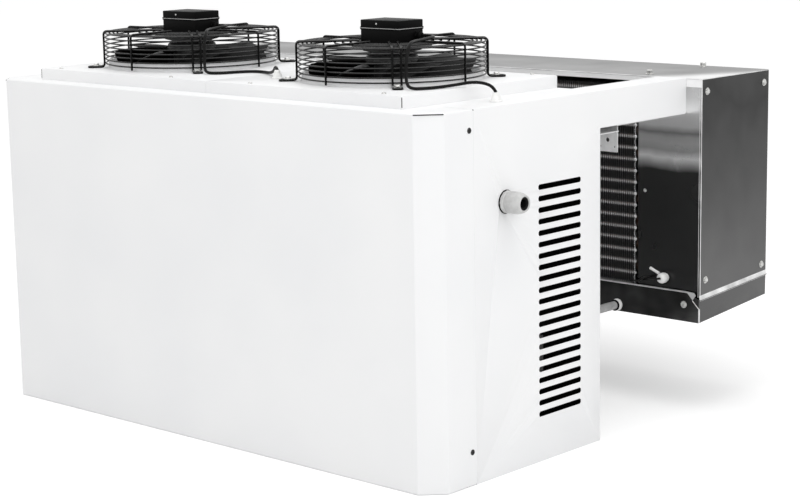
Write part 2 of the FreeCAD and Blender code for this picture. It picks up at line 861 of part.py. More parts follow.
def hairpin(x0, x1, first, second):
    """One hairpin tube: along +X at the first place, round, and back at the second."""
    reach = (second - first).Length / 2
    middle = (first + second) / 2
    route = [V(x0, first.y, first.z), V(x1, first.y, first.z)]
    for i in range(1, 4):
        turn = math.pi * i / 4
        swing = middle + (first - middle) * math.cos(turn)
        route.append(V(x1 + reach * math.sin(turn), swing.y, swing.z))
    route.append(V(x1, second.y, second.z))
    route.append(V(x0, second.y, second.z))
    return bar(route, coil_tube / 2, 6)


def coil_tube_z(index):
    """Height of one tube of the evaporator coil."""
    count = int((coil_top - coil_bottom) / coil_tube_pitch / 2) * 2
    return (coil_top + coil_bottom) / 2 + coil_tube_pitch * (index - (count - 1) / 2)


def evaporator_tubes():
    """Hairpin tubes of the evaporator coil."""
    tubes = []
    count = int((coil_top - coil_bottom) / coil_tube_pitch / 2) * 2
    for row in range(coil_tube_rows):
        y = coil_y + coil_depth / 2 + (row - (coil_tube_rows - 1) / 2) * coil_row_pitch
        for i in range(0, count, 2):
            tubes.append(hairpin(-coil_half_width - coil_tube_reach, coil_half_width + end_plate,
                                 V(0, y, coil_tube_z(i)), V(0, y, coil_tube_z(i + 1))))
    return Part.makeCompound(tubes)


def evaporator_end_plates():
    """Plates at both ends of the evaporator coil, hung from the top cover down to the tray."""
    plates = []
    for sign in (1, -1):
        x = sign * (coil_half_width - end_plate / 2)
        plates.append(box(x - end_plate / 2, x + end_plate / 2, coil_y, coil_y + coil_depth,
                          coil_bottom, housing_height - steel))
    return Part.makeCompound(plates)


def condenser_box():
    """Limits of the condenser's finned block."""
    x = deck_half_width - condenser_side_gap
    y0 = deck_y + condenser_front_gap
    y1 = rear_y - condenser_front_gap
    z1 = housing_height - condenser_drop
    return -x, x, y0, y1, z1 - condenser_height, z1


def condenser_tube_count():
    """Number of tubes in the condenser's row, always even."""
    x0, x1, y0, y1, z0, z1 = condenser_box()
    return int((y1 - y0) / coil_tube_pitch / 2) * 2


def condenser_tube_low():
    """Place of the condenser's first tube."""
    x0, x1, y0, y1, z0, z1 = condenser_box()
    return (y0 + y1) / 2 - coil_tube_pitch * (condenser_tube_count() - 1) / 2


def condenser_tubes():
    """Hairpin tubes of the condenser coil."""
    x0, x1, y0, y1, z0, z1 = condenser_box()
    tubes = []
    z = (z0 + z1) / 2
    for i in range(0, condenser_tube_count(), 2):
        y = condenser_tube_low() + i * coil_tube_pitch
        tubes.append(hairpin(x0 - coil_tube_reach, x1 + 2 * end_plate, V(0, y, z),
                             V(0, y + coil_tube_pitch, z)))
    return Part.makeCompound(tubes)


def condenser_end_plates():
    """Plates at both ends of the condenser coil, hung from the roof sheet."""
    x0, x1, y0, y1, z0, z1 = condenser_box()
    plates = []
    for x in (x0 - end_plate, x1):
        plates.append(box(x, x + end_plate, y0 - end_plate_rim, y1 + end_plate_rim, z0 - end_plate_rim,
                          housing_height - sheet))
    return Part.makeCompound(plates)


def arm_rail():
    """Inner rail of the right arm: a web whose lower flange sits on the wall."""
    y0 = rear_y
    web = box(rail_x, rail_x + rail_sheet, y0, evaporator_y, rail_z + rail_sheet, housing_height - sheet)
    seat = box(rail_x, rail_x + saddle_width, y0, tab_y, rail_z, rail_z + rail_sheet)
    return web.fuse(seat).removeSplitter()


def tab_centre():
    """Middle of a wall tab's width."""
    return rail_x - tab_overlap + tab_width / 2


def wall_tab():
    """Tab behind the seat's end that is screwed to the inside of the cold-room wall."""
    x = tab_centre()
    y0 = tab_y
    y1 = tab_y + rail_sheet
    tab = box(x - tab_width / 2, x + tab_width / 2, y0, y1, rail_z - tab_drop, rail_z + rail_sheet)
    holes = [rod(V(x, y0 - 1, rail_z - tab_hole_drop), V(0, 1, 0), tab_hole / 2, rail_sheet + 2)]
    for sign in (1, -1):
        place = V(x + sign * tab_small_pitch / 2, y0 - 1, rail_z - tab_small_drop)
        holes.append(facet_rod(place, V(0, 1, 0), tab_small_hole / 2, rail_sheet + 2, 6))
    return tab.cut(Part.makeCompound(holes))


def evaporator_top():
    """Stainless lid with a front flange over the coil."""
    y0 = evaporator_y - steel
    plate = box(evaporator_left, evaporator_right, y0, evaporator_back, housing_height - steel,
                housing_height)
    lip = box(evaporator_left, evaporator_right, y0, evaporator_y, housing_height - front_flange,
              housing_height)
    top = plate.fuse(lip).removeSplitter()
    arms = box(rail_x - arm_clearance, half_width + arm_clearance, y0 - steel, evaporator_y, 0,
               2 * housing_height)
    return top.cut(arms).cut(mirrored(arms))


def evaporator_end(x):
    """End panel whose lower edge follows the sloping tray."""
    low = end_bottom_front
    rise = (end_bottom_rear - end_bottom_front) / evaporator_depth
    points = [V(x, evaporator_y, low), V(x, evaporator_back, low + rise * evaporator_depth),
              V(x, evaporator_back, housing_height - steel), V(x, evaporator_y, housing_height - steel)]
    return prism(points, V(1, 0, 0), steel)


def evaporator_front():
    """Front sheet with a window for the coil, between the end panels."""
    x0 = evaporator_left + steel
    x1 = evaporator_right - steel
    z0 = end_bottom_front - sheet_overlap
    plate = box(x0, x1, evaporator_y, evaporator_y + steel, z0, housing_height - steel)
    window = box(-coil_half_width, coil_half_width, evaporator_y - 1, evaporator_y + 3 * steel,
                 z0 - 1, housing_height - front_flange)
    return plate.cut(window).cut(pipe_opening(evaporator_y - 1, evaporator_y + 3 * steel))


def evaporator_rear():
    """Back sheet with a nozzle for each room fan."""
    x0 = evaporator_left + steel
    x1 = evaporator_right - steel
    panel = box(x0, x1, evaporator_back - 2 * steel, evaporator_back - steel, end_bottom_rear - sheet_overlap,
                housing_height - steel)
    for sign in (1, -1):
        centre = V(sign * room_fan_offset, evaporator_back - 2 * steel, room_fan_z)
        ring = facet_rod(centre, V(0, 1, 0), nozzle_radius + steel, room_nozzle, nozzle_sides)
        hole = facet_rod(centre - V(0, room_nozzle, 0), V(0, 1, 0), nozzle_radius, 3 * room_nozzle,
                         nozzle_sides)
        panel = panel.fuse(ring).cut(hole)
    return panel.removeSplitter()


def drip_tray():
    """Sloping stainless tray under the box, with a tall front wall and a rolled lip."""
    x0 = evaporator_left
    x1 = evaporator_right
    y0 = tray_y
    y1 = evaporator_back
    slope = (tray_bottom_rear - tray_bottom_front) / (y1 - y0)
    rim = (end_bottom_rear - end_bottom_front) / evaporator_depth
    rim_front = end_bottom_front - rim * tray_stand_off
    t = steel
    outer = prism([V(x0, y0, tray_bottom_front), V(x0, y1, tray_bottom_rear), V(x0, y1, end_bottom_rear),
                   V(x0, y0, rim_front)], V(1, 0, 0), x1 - x0)
    inner = prism([V(x0 + t, y0 + t, tray_bottom_front + t + slope * t),
                   V(x0 + t, y1 - t, tray_bottom_rear + t - slope * t),
                   V(x0 + t, y1 - t, housing_height), V(x0 + t, y0 + t, housing_height)],
                  V(1, 0, 0), x1 - x0 - 2 * t)
    tray = outer.cut(inner)
    wall = prism([V(x0, y0, rim_front), V(x1, y0, rim_front), V(x1 - tray_corner, y0, tray_lip_height),
                  V(x0 + tray_corner, y0, tray_lip_height)], V(0, 1, 0), t)
    lip = box(x0 + tray_corner, x1 - tray_corner, y0 - tray_lip, y0 + t, tray_lip_height - t,
              tray_lip_height)
    right = prism([V(x1, y0, rim_front - t), V(x1, y1, end_bottom_rear - t), V(x1, y1, end_bottom_rear),
                   V(x1, y0, rim_front)], V(1, 0, 0), tray_lip)
    left = right.copy()
    left.translate(V(x0 - x1 - tray_lip, 0, 0))
    tray = tray.fuse([wall, lip, right, left]).removeSplitter()
    outlet = facet_rod(V(drain_x, y0 - tray_lip, drain_height), V(0, 1, 0), drain_tube_radius,
                       3 * tray_lip, tube_sides)
    return tray.cut(outlet)


def room_guard(centre):
    """Welded wire guard of a room fan, on legs that stand on the back sheet."""
    pieces = []
    face = evaporator_back - steel + room_guard_depth
    outer = nozzle_radius + steel + guard_wire
    lap = guard_wire * (1 - weld_depth)
    for radius, y in ((guard_hub_radius, face), ((guard_hub_radius + outer) / 2, face), (outer, face - lap)):
        points = []
        for i in range(room_ring_sides):
            turn = 2 * math.pi * i / room_ring_sides
            points.append(V(centre.x + radius * math.cos(turn), y - wire,
                            centre.z + radius * math.sin(turn)))
        pieces.append(bar(points, wire, 4, True))
    for i in range(room_guard_legs):
        turn = 2 * math.pi * (i + 0.5) / room_guard_legs
        out = V(math.cos(turn), 0, math.sin(turn))
        near = centre + out * (guard_hub_radius - wire)
        far = centre + out * (outer + lap)
        y = face - wire + lap
        points = [V(near.x, y, near.z), V(far.x, y, far.z), V(far.x, evaporator_back - steel, far.z)]
        pieces.append(bar(rounded(points, wire_bend, 1), wire, 4))
    return Part.makeCompound(pieces)


def room_motor_back():
    """Face of a room motor that the rotor runs behind."""
    return evaporator_back - steel + room_guard_depth - guard_wire - stator_height


def room_motor(centre):
    """Fixed motor of a room fan: flange under the guard's middle and shaft towards the coil."""
    back = room_motor_back()
    flange = facet_rod(V(centre.x, back, centre.z), V(0, 1, 0), stator_radius, stator_height, 16)
    depth = rotor_top + rotor_depth - shaft_end
    shaft = rod(V(centre.x, back - depth, centre.z), V(0, 1, 0), shaft_radius, depth + 1)
    return flange.fuse(shaft).removeSplitter()


def room_impeller(centre):
    """Rotor and blades of a room fan, lying on its side."""
    rotor = impeller(room_blade_count)
    rotor.rotate(V(0, 0, 0), V(1, 0, 0), -90)
    rotor.translate(V(centre.x, room_motor_back() - rotor_top - rotor_depth - run_gap, centre.z))
    return rotor


def gland_body():
    """Hexagonal body of the cable gland with its thread through the panel."""
    centre = V(half_width + seal_height, gland_y, gland_height)
    body = hexagon(centre, V(1, 0, 0), gland_hex, gland_hex_length)
    thread = facet_rod(centre - V(gland_thread_length, 0, 0), V(1, 0, 0), gland_thread / 2,
                       gland_thread_length + 1, 12)
    bore = rod(centre - V(gland_thread_length + 1, 0, 0), V(1, 0, 0), gland_bore / 2,
               2 * (gland_thread_length + gland_hex_length))
    return body.fuse(thread).cut(bore).removeSplitter()


def gland_nut():
    """Dome nut of the cable gland."""
    centre = V(half_width + seal_height + gland_hex_length, gland_y, gland_height)
    nut = hexagon(centre, V(1, 0, 0), gland_nut_hex, gland_nut_length)
    dome = lathe([(0, -1), (gland_nut_hex / 2, -1), (gland_nut_hex / 2, 0),
                  (gland_bore / 2 + gland_lip, gland_dome_length), (0, gland_dome_length)], 16,
                 centre + V(gland_nut_length, 0, 0), V(1, 0, 0))
    bore = rod(centre - V(1, 0, 0), V(1, 0, 0), gland_bore / 2, 2 * gland_nut_length)
    return nut.fuse(dome).cut(bore).removeSplitter()


def flat_ring(centre, axis, outer, inner, length):
    """A ring such as a seal."""
    ring = facet_rod(centre, axis, outer, length, tube_sides)
    return ring.cut(facet_rod(centre - axis, axis, inner, length + 2, tube_sides))


def seals():
    """Flat rings under the cable gland and on the drain's outlet."""
    gland = flat_ring(V(half_width, gland_y, gland_height), V(1, 0, 0), gland_hex / 2 + seal_rim,
                      gland_thread / 2 + gland_hole_gap, seal_height)
    y = tray_y - drain_nut_length - drain_seal_length
    drain = flat_ring(V(drain_x, y, drain_height), V(0, 1, 0), drain_tube_radius + drain_seal_rim,
                      drain_tube_radius, drain_seal_length)
    return Part.makeCompound([gland, drain])


def drain_nut():
    """White nut that holds the drain tube to the tray."""
    y = tray_y - drain_nut_length
    nut = hexagon(V(drain_x, y, drain_height), V(0, 1, 0), drain_nut_across, drain_nut_length)
    return nut.cut(facet_rod(V(drain_x, y - 1, drain_height), V(0, 1, 0), drain_tube_radius,
                             2 * drain_nut_length, tube_sides))


def drain_tube():
    """Tube that carries the melt water over the wall's foot into the housing."""
    y0 = rear_y - drain_inside
    length = tray_y + steel - y0
    tube = facet_rod(V(drain_x, y0, drain_height), V(0, 1, 0), drain_tube_radius, length, tube_sides)
    return tube.cut(facet_rod(V(drain_x, y0 - 1, drain_height), V(0, 1, 0),
                              drain_tube_radius - drain_tube_wall, length + 2, tube_sides))


def sensor_gland():
    """Small white gland on the front strip, and the light sleeve that lies beside it."""
    front = V(0, -1, 0)
    start = V(sensor_x, evaporator_y, sensor_height)
    ring = hexagon(start, front, 2 * sensor_radius, sensor_hex_length)
    barrel = facet_rod(start, front, sensor_radius, sensor_length, tube_sides)
    body = barrel.fuse(ring).removeSplitter()
    hole = facet_rod(start + front * sensor_hex_length, front, sensor_lead_diameter / 2, 2 * sensor_length,
                     cord_sides)
    left = V(sleeve_left, evaporator_y - sleeve_radius, sleeve_high)
    right = V(sleeve_right, evaporator_y - sleeve_radius, sleeve_low)
    sleeve = bar([left, right], sleeve_radius, 8)
    return Part.makeCompound([body.cut(hole), sleeve])


def receiver():
    """Liquid receiver: a standing hollow vessel with domed ends."""
    shells = []
    for inset in (0, vessel_wall):
        r = receiver_radius - inset
        top = receiver_height - inset
        profile = [(0, inset), (r * 0.7, inset), (r, receiver_dome), (r, top - receiver_dome),
                   (r * 0.6, top), (0, top)]
        shells.append(lathe(profile, 14, V(receiver_x, receiver_y, floor_z), V(0, 0, 1)))
    return shells[0].cut(shells[1])


def pipe_run(points, radius, bend):
    """A pipe with smooth bends made of short straight facets."""
    return bar(rounded([V(*point) for point in points], bend, 2), radius, 6)


def condenser_port(index):
    """Open end of one condenser tube."""
    x0, x1, y0, y1, z0, z1 = condenser_box()
    return x0 - coil_tube_reach, condenser_tube_low() + index * coil_tube_pitch, (z0 + z1) / 2


def discharge_pipe():
    """Hot gas pipe from the compressor's top to a condenser tube on its front side."""
    x, y, z = condenser_port(condenser_tube_count() // 2)
    start = floor_z + compressor_foot_height + compressor_plate + compressor_height
    left = x - pipe_turn
    return pipe_run([(compressor_x, y, start), (compressor_x, y, discharge_height),
                     (left, y, discharge_height), (left, y, z), (x, y, z)], discharge_radius, discharge_bend)


def liquid_line():
    """Pipe from the condenser to the receiver, and from there through the drier and the left arm."""
    x, y, z = condenser_port(condenser_tube_count() - 1)
    left = x - pipe_turn
    top = floor_z + receiver_height
    y_in = receiver_y + receiver_port
    y_out = receiver_y - receiver_port
    down = pipe_run([(x, y, z), (left, y, z), (left, y, condensate_height),
                     (receiver_x - receiver_radius, y, condensate_height),
                     (receiver_x, y_in, condensate_height - pipe_turn), (receiver_x, y_in, top)],
                    liquid_radius, liquid_bend)
    out = pipe_run([(receiver_x, y_out, top), (receiver_x, y_out, liquid_height),
                    (drier_x + drier_length, y_out, liquid_height)], liquid_radius, liquid_bend)
    y_end = coil_y + coil_depth / 2 + coil_row_pitch / 2
    away = pipe_run([(drier_x, y_out, liquid_height), (liquid_x, y_out, liquid_height),
                     (liquid_x, y_out, pipe_height), (liquid_x, y_end, pipe_height),
                     (liquid_x, y_end, coil_tube_z(1)),
                     (-coil_half_width - coil_tube_reach, y_end, coil_tube_z(1))], liquid_radius, liquid_bend)
    return Part.makeCompound([down, out, away])


def suction_line():
    """Insulated pipe from the evaporator through the left arm back to the compressor's side."""
    y_start = compressor_y + compressor_radius
    y_rear = rear_y - suction_rear_gap
    y_end = coil_y + coil_depth / 2 - coil_row_pitch / 2
    return pipe_run([(compressor_x, y_start, suction_height), (compressor_x, y_rear, suction_height),
                     (suction_x, y_rear, suction_height), (suction_x, y_rear, pipe_height),
                     (suction_x, y_end, pipe_height), (suction_x, y_end, coil_tube_z(0)),
                     (-coil_half_width - coil_tube_reach, y_end, coil_tube_z(0))], suction_radius, suction_bend)


def drier():
    """Filter drier in the liquid line."""
    y = receiver_y - receiver_port
    r = drier_radius
    neck = liquid_radius + pipe_clearance / 2
    profile = [(0, 0), (neck, 0), (r, r * 0.6), (r, drier_length - r * 0.6), (neck, drier_length),
               (0, drier_length)]
    return lathe(profile, 12, V(drier_x, y, liquid_height), V(1, 0, 0))


def electrical_box():
    """Closed sheet box for the electrical gear, on the base pan's left."""
    x = electric_side_space - half_width
    shells = []
    for inset in (0, sheet):
        shells.append(box(x + inset, x + electric_width - inset, front_y + electric_front_space + inset,
                          rear_y - electric_rear_space - inset, floor_z + inset,
                          floor_z + electric_height - inset))
    return shells[0].cut(shells[1])


def guard_screws():
    """Screws between the two wires of each guard foot, with a flange over both wires."""
    screws = []
    up = V(0, 0, 1)
    for centre, turn in ((right_centre, 0), (left_centre, guard_turn_left)):
        for i in range(4):
            place = polar(centre, (guard_radius + toe_radius) / 2, turn + 45 + 90 * i, deck_z)
            profile = [(0, 0), (guard_shank, 0), (guard_shank, guard_wire), (guard_flange, guard_wire),
                       (guard_screw_head, guard_wire + guard_flange_height),
                       (guard_screw_head, guard_wire + screw_head_height),
                       (0, guard_wire + screw_head_height)]
            screws.append(lathe(profile, 6, place, up))
    return Part.makeCompound(screws)


def deck_screws():
    """Screws at the corners of both decks."""
    screws = []
    for side in (1, -1):
        for x in (deck_screw_inner, deck_half_width - deck_screw_outer):
            for y in (deck_y + deck_screw_margin, rear_y - deck_screw_margin):
                screws.append(screw(V(side * x, y, deck_z), V(0, 0, 1)))
    return Part.makeCompound(screws)


def cover_screws():
    """Dark flat screws that hold the front cover at both sides."""
    screws = []
    for side in (1, -1):
        for z in (cover_screw_low, housing_height - cover_screw_drop):
            place = V(side * half_width, front_y + cover_screw_setback, z)
            screws.append(facet_rod(place, V(side, 0, 0), cover_screw_head, cover_screw_height, 8))
    return Part.makeCompound(screws)


def evaporator_screws():
    """Screws of the end panels, the top cover and the tray, and the rivets of the front strips."""
    screws = []
    for side, x in ((1, evaporator_right), (-1, evaporator_left)):
        out = V(side, 0, 0)
        front = V(0, -1, 0)
        for y in (evaporator_y + end_screw_inset, evaporator_back - end_screw_inset):
            for z in (housing_height - end_screw_drop, end_bottom_rear + end_screw_rise):
                screws.append(screw(V(x, y, z), out))
        for y in (evaporator_y + top_screw_setback, evaporator_back - end_screw_inset):
            screws.append(screw(V(x - side * top_screw_inset, y, housing_height), V(0, 0, 1)))
        screws.append(screw(V(x - side * tray_screw_inset, tray_y, tray_screw_height), front))
        screws.append(hexagon(V(x - side * strip_rivet_inset, evaporator_y, strip_rivet_height), front,
                              strip_rivet_size, strip_rivet_size / 3))
    return Part.makeCompound(screws)


def save(name, shape):
    """Writes one piece to its file."""
    shape.exportStep("parts/" + name + ".step")
    made.append((name, shape))


made = []
right_centre = V(fan_offset, fan_y, 0)
left_centre = V(-fan_offset, fan_y, 0)

save("base_pan", base_pan())
save("front_cover", front_cover())
save("side_panel_right", side_panel(True, False))
save("side_panel_left", mirrored(side_panel(False, True)))
save("rear_panel", rear_panel())
save("top_panel", top_panel())
right_deck = fan_deck()
save("fan_deck_right", right_deck)
save("fan_deck_left", mirrored(right_deck))
save("fan_guard_right", fan_guard(right_centre, 0))
save("fan_guard_left", fan_guard(left_centre, guard_turn_left))
for side, centre in (("right", right_centre), ("left", left_centre)):
    save("fan_motor_" + side, fan_motor(centre))
    save("fan_impeller_" + side, fan_impeller(centre))
    save("terminal_box_" + side, terminal_box(centre))
save("terminal_lids", Part.makeCompound([terminal_lid(right_centre), terminal_lid(left_centre)]))
cable_right = cord_tube("fan_cable_right", fan_cable_right, cable_diameter)
save("fan_cable_right", cable_right)
cable_left = cord_tube("fan_cable_left", fan_cable_left, cable_diameter)
save("fan_cable_left", cable_left)
save("cable_grommets", Part.makeCompound([grommet(grommet_right, cable_right),
                                          grommet(grommet_left, cable_left)]))
save("guard_screws", guard_screws())
save("deck_screws", deck_screws())
save("cover_screws", cover_screws())
save("evaporator_screws", evaporator_screws())
save("gland_body", gland_body())
save("gland_nut", gland_nut())
save("sealing_rings", seals())
save("compressor", compressor())
save("compressor_feet", compressor_feet())
save("condenser_fins", fins(*condenser_box()))
save("condenser_tubes", condenser_tubes())
save("condenser_end_plates", condenser_end_plates())
save("liquid_receiver", receiver())
save("filter_drier", drier())
save("discharge_pipe", discharge_pipe())
save("liquid_line", liquid_line())
save("suction_line", suction_line())
save("electrical_box", electrical_box())
save("arm_rail_right", arm_rail())
save("arm_rail_left", mirrored(arm_rail()))
save("wall_tabs", Part.makeCompound([wall_tab(), mirrored(wall_tab())]))
save("evaporator_top", evaporator_top())
save("evaporator_end_right", evaporator_end(evaporator_right - steel))
save("evaporator_end_left", evaporator_end(evaporator_left))
save("evaporator_front", evaporator_front())
save("evaporator_rear", evaporator_rear())
save("evaporator_fins", fins(-coil_half_width + fin_end_gap, coil_half_width - fin_end_gap, coil_y,
                             coil_y + coil_depth, coil_bottom, coil_top))
save("evaporator_tubes", evaporator_tubes())
save("evaporator_end_plates", evaporator_end_plates())
save("drip_tray", drip_tray())
save("drain_tube", drain_tube())
save("drain_nut", drain_nut())
save("sensor_gland", sensor_gland())
save("sensor_lead", cord_tube("sensor_lead", sensor_lead, sensor_lead_diameter))
for side, sign in (("right", 1), ("left", -1)):
    centre = V(sign * room_fan_offset, 0, room_fan_z)
    save("room_fan_guard_" + side, room_guard(centre))
    save("room_fan_motor_" + side, room_motor(centre))
    save("room_fan_impeller_" + side, room_impeller(centre))

total = 0
for name, shape in made:
    diagonal = shape.BoundBox.DiagonalLength
    deflection = min(0.5, max(0.01, 0.0002 * diagonal))
    triangles = len(shape.tessellate(deflection)[1])
    total += triangles
    print(name, len(shape.Solids), "solids", triangles, "triangles", "valid" if shape.isValid() else "INVALID",
          "volume", round(shape.Volume / 1000.0, 1))
print("total triangles", total)
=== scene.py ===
# %% [markdown]
# # A refrigeration unit that hangs over a cold-room wall
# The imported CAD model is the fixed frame. This lesson gives it its looks: a camera and soft lamps, then
# every finish, then the pieces whose fine shape a simple solid can't show, such as the wire guards, the
# fan blades, the coil and the screws.
# Lengths are written in millimetres, as on a drawing, and turned into metres when a piece is done.

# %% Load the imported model
import math
import bpy
import bmesh
from mathutils import Matrix, Vector


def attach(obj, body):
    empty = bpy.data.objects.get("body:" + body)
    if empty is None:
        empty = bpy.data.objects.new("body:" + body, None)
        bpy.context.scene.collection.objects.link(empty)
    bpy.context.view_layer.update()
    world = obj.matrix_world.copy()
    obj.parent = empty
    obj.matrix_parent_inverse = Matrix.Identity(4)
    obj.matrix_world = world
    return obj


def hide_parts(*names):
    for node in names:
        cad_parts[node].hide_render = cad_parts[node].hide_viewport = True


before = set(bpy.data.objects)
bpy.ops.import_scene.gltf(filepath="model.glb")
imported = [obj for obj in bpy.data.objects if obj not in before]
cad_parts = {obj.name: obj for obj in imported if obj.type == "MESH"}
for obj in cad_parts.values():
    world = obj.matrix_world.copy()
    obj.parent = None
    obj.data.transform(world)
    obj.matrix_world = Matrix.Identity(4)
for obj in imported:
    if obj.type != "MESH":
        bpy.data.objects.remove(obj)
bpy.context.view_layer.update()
scene = bpy.context.scene
millimetre = 0.001
full_turn = 2 * math.pi


def stand(name, data):
    """A new object in the scene."""
    item = bpy.data.objects.new(name, data)
    scene.collection.objects.link(item)
    return item


# %% [markdown]
# ## The camera
# The photograph looks at the unit's front from the right and a little from above, through a long lens.
# A rotation matrix could come from Euler angles. Here its three columns are worked out from the
# direction of view, because that keeps the small roll of the picture easy to read.

# %% Camera
view_azimuth = math.radians(42.335)
view_elevation = math.radians(10.494)
view_roll = math.radians(-1.003)
backward = Vector((math.sin(view_azimuth) * math.cos(view_elevation),
                   -math.cos(view_azimuth) * math.cos(view_elevation), math.sin(view_elevation)))
level_right = (-backward).cross(Vector((0, 0, 1))).normalized()
level_up = level_right.cross(-backward)
camera_right = level_right * math.cos(view_roll) + level_up * math.sin(view_roll)
camera_up = level_up * math.cos(view_roll) - level_right * math.sin(view_roll)
camera = stand("camera", bpy.data.cameras.new("camera"))
camera.matrix_world = Matrix.Translation((2.6433, -2.5779, 0.9987)) @ Matrix(
    (camera_right, camera_up, backward)).transposed().to_4x4()
camera.data.lens = 89.11
camera.data.sensor_width = 36.0
camera.data.clip_end = 50.0
scene.camera = camera
print("camera at", [round(v, 3) for v in camera.location])


# %% [markdown]
# ## Tools for finishes
# A finish is a material with its own pattern, so that no surface is one flat colour. All patterns read
# Object coordinates, which lie still on the piece. One number that is the same all over a surface is set
# straight on the shader, and only what varies comes through nodes.

# %% Tools for finishes
def add_node(tree, kind, inputs, **settings):
    """A node with its settings and inputs. Each input is a plain value, another node, whose first output is
    taken, or one of a node's outputs."""
    node = tree.nodes.new(kind)
    for name, value in settings.items():
        setattr(node, name, value)
    for name, value in inputs.items():
        if isinstance(value, bpy.types.Node):
            value = value.outputs[0]
        if isinstance(value, bpy.types.NodeSocket):
            tree.links.new(value, node.inputs[name])
        else:
            node.inputs[name].default_value = value
    return node


def rgb(colour):
    """A colour with its alpha. One number stands for a grey."""
    return (*colour, 1.0) if isinstance(colour, tuple) else (colour, colour, colour, 1.0)


def new_finish(name, colour, roughness, metallic=0.0, shine=0.5):
    """A material with its shader set. Returns it with its node tree."""
    finish = bpy.data.materials.new(name)
    finish.use_nodes = True
    sockets = finish.node_tree.nodes["Principled BSDF"].inputs
    sockets["Base Color"].default_value = rgb(colour)
    sockets["Roughness"].default_value = roughness
    sockets["Metallic"].default_value = metallic
    sockets["Specular IOR Level"].default_value = shine
    return finish, finish.node_tree


def paint(tree, value, socket="Base Color"):
    """Joins a node's output to the shader."""
    tree.links.new(value, tree.nodes["Principled BSDF"].inputs[socket])


def spot(tree):
    """A point's X, Y and Z on the piece."""
    place = add_node(tree, "ShaderNodeTexCoord", {})
    return add_node(tree, "ShaderNodeSeparateXYZ", {"Vector": place.outputs["Object"]}).outputs


def facing(tree):
    """The X, Y and Z of the direction that a surface faces."""
    surface = add_node(tree, "ShaderNodeNewGeometry", {})
    return add_node(tree, "ShaderNodeSeparateXYZ", {"Vector": surface.outputs["Normal"]}).outputs


def grain(tree, size, detail=3.0, stretch=(1, 1, 1)):
    """Noise whose specks are about that many millimetres across, stretched along chosen axes."""
    place = add_node(tree, "ShaderNodeTexCoord", {})
    turn = add_node(tree, "ShaderNodeMapping", {"Vector": place.outputs["Object"], "Scale": stretch})
    return add_node(tree, "ShaderNodeTexNoise", {"Vector": turn.outputs["Vector"], "Detail": detail,
                                                 "Scale": 1.0 / (size * millimetre)}).outputs["Fac"]


def map_range(tree, value, low, high, to_low, to_high):
    """Stretches a value from one span to another."""
    return add_node(tree, "ShaderNodeMapRange", {"Value": value, "From Min": low, "From Max": high,
                                                 "To Min": to_low, "To Max": to_high}).outputs["Result"]


def calculate(tree, operation, *values):
    """One step of arithmetic. Each value is a number or another node's output."""
    return add_node(tree, "ShaderNodeMath", dict(enumerate(values)), operation=operation).outputs["Value"]


def shades(tree, value, stops):
    """Colours a surface along a value: each stop is a position and a colour."""
    ramp = add_node(tree, "ShaderNodeValToRGB", {"Fac": value})
    points = ramp.color_ramp.elements
    while len(points) < len(stops):
        points.new(0.5)
    for point, (position, colour) in zip(points, stops):
        point.position = position
    for point, (position, colour) in zip(points, stops):
        point.color = rgb(colour)
    paint(tree, ramp.outputs["Color"])
    return ramp.outputs["Color"]


def spread(tree, value, low, high):
    """Varies the roughness by a pattern."""
    paint(tree, map_range(tree, value, 0.3, 0.7, low, high), "Roughness")


def relief(tree, value, depth, strength):
    """Makes a pattern stand up by about that many millimetres."""
    bump = add_node(tree, "ShaderNodeBump", {"Height": value, "Strength": strength,
                                             "Distance": depth * millimetre})
    paint(tree, bump.outputs["Normal"], "Normal")


def by_height(tree, low, high, waver, size, stretch=(1, 1, 1)):
    """A value that runs from 0 to 1 between two heights in millimetres, with a wavy edge."""
    climb = map_range(tree, spot(tree)["Z"], low * millimetre, high * millimetre, -waver / 2, 1.0 - waver / 2)
    return calculate(tree, "MULTIPLY_ADD", grain(tree, size, 2.0, stretch), waver, climb)


def plain_finish(name, colour, roughness, metallic, shine, cloud, tones, gloss, bumps, height,
                 low=0.35, high=0.65):
    """A finish whose tone and roughness follow one cloud, with the same or finer bumps on it."""
    finish, tree = new_finish(name, colour, roughness, metallic, shine)
    pattern = grain(tree, *cloud)
    shades(tree, pattern, [(low, tones[0]), (high, tones[1])])
    spread(tree, pattern, *gloss)
    relief(tree, grain(tree, *bumps) if bumps else pattern, *height)
    return finish


print("tools for finishes ready")


# %% [markdown]
# ## The cables
# Two black cables run from the fans' terminal boxes down a leg of each guard and over the deck to a
# grommet. A thin lead runs from a small gland to the coil. A cord is a fixed length of something limp,
# so each is one smooth spline with few points, not a row of straight pieces.
# The order of the spline and its end points are set after its points, or it would stay straight runs.

# %% Cables and sensor lead
cable_skin = plain_finish("cable_skin", 0.004, 0.3, 0.0, 0.12, (1.2, 4.0), (0.003, 0.006), (0.3, 0.46),
                          None, (0.15, 0.3))


def cable(name, points, diameter, node):
    """A cord along its route, in millimetres, that stands for its CAD node."""
    curve = bpy.data.curves.new(name, "CURVE")
    curve.dimensions = "3D"
    curve.bevel_depth = diameter / 2 * millimetre
    curve.bevel_resolution = 5
    curve.resolution_u = 10
    curve.use_fill_caps = True
    spline = curve.splines.new("NURBS")
    spline.points.add(len(points) - 1)
    for knot, point in zip(spline.points, points):
        knot.co = (*(Vector(point) * millimetre), 1.0)
    spline.order_u = 3
    spline.use_endpoint_u = True
    curve.materials.append(cable_skin)
    piece = stand(name, curve)
    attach(piece, "unit")
    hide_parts(node)
    return piece


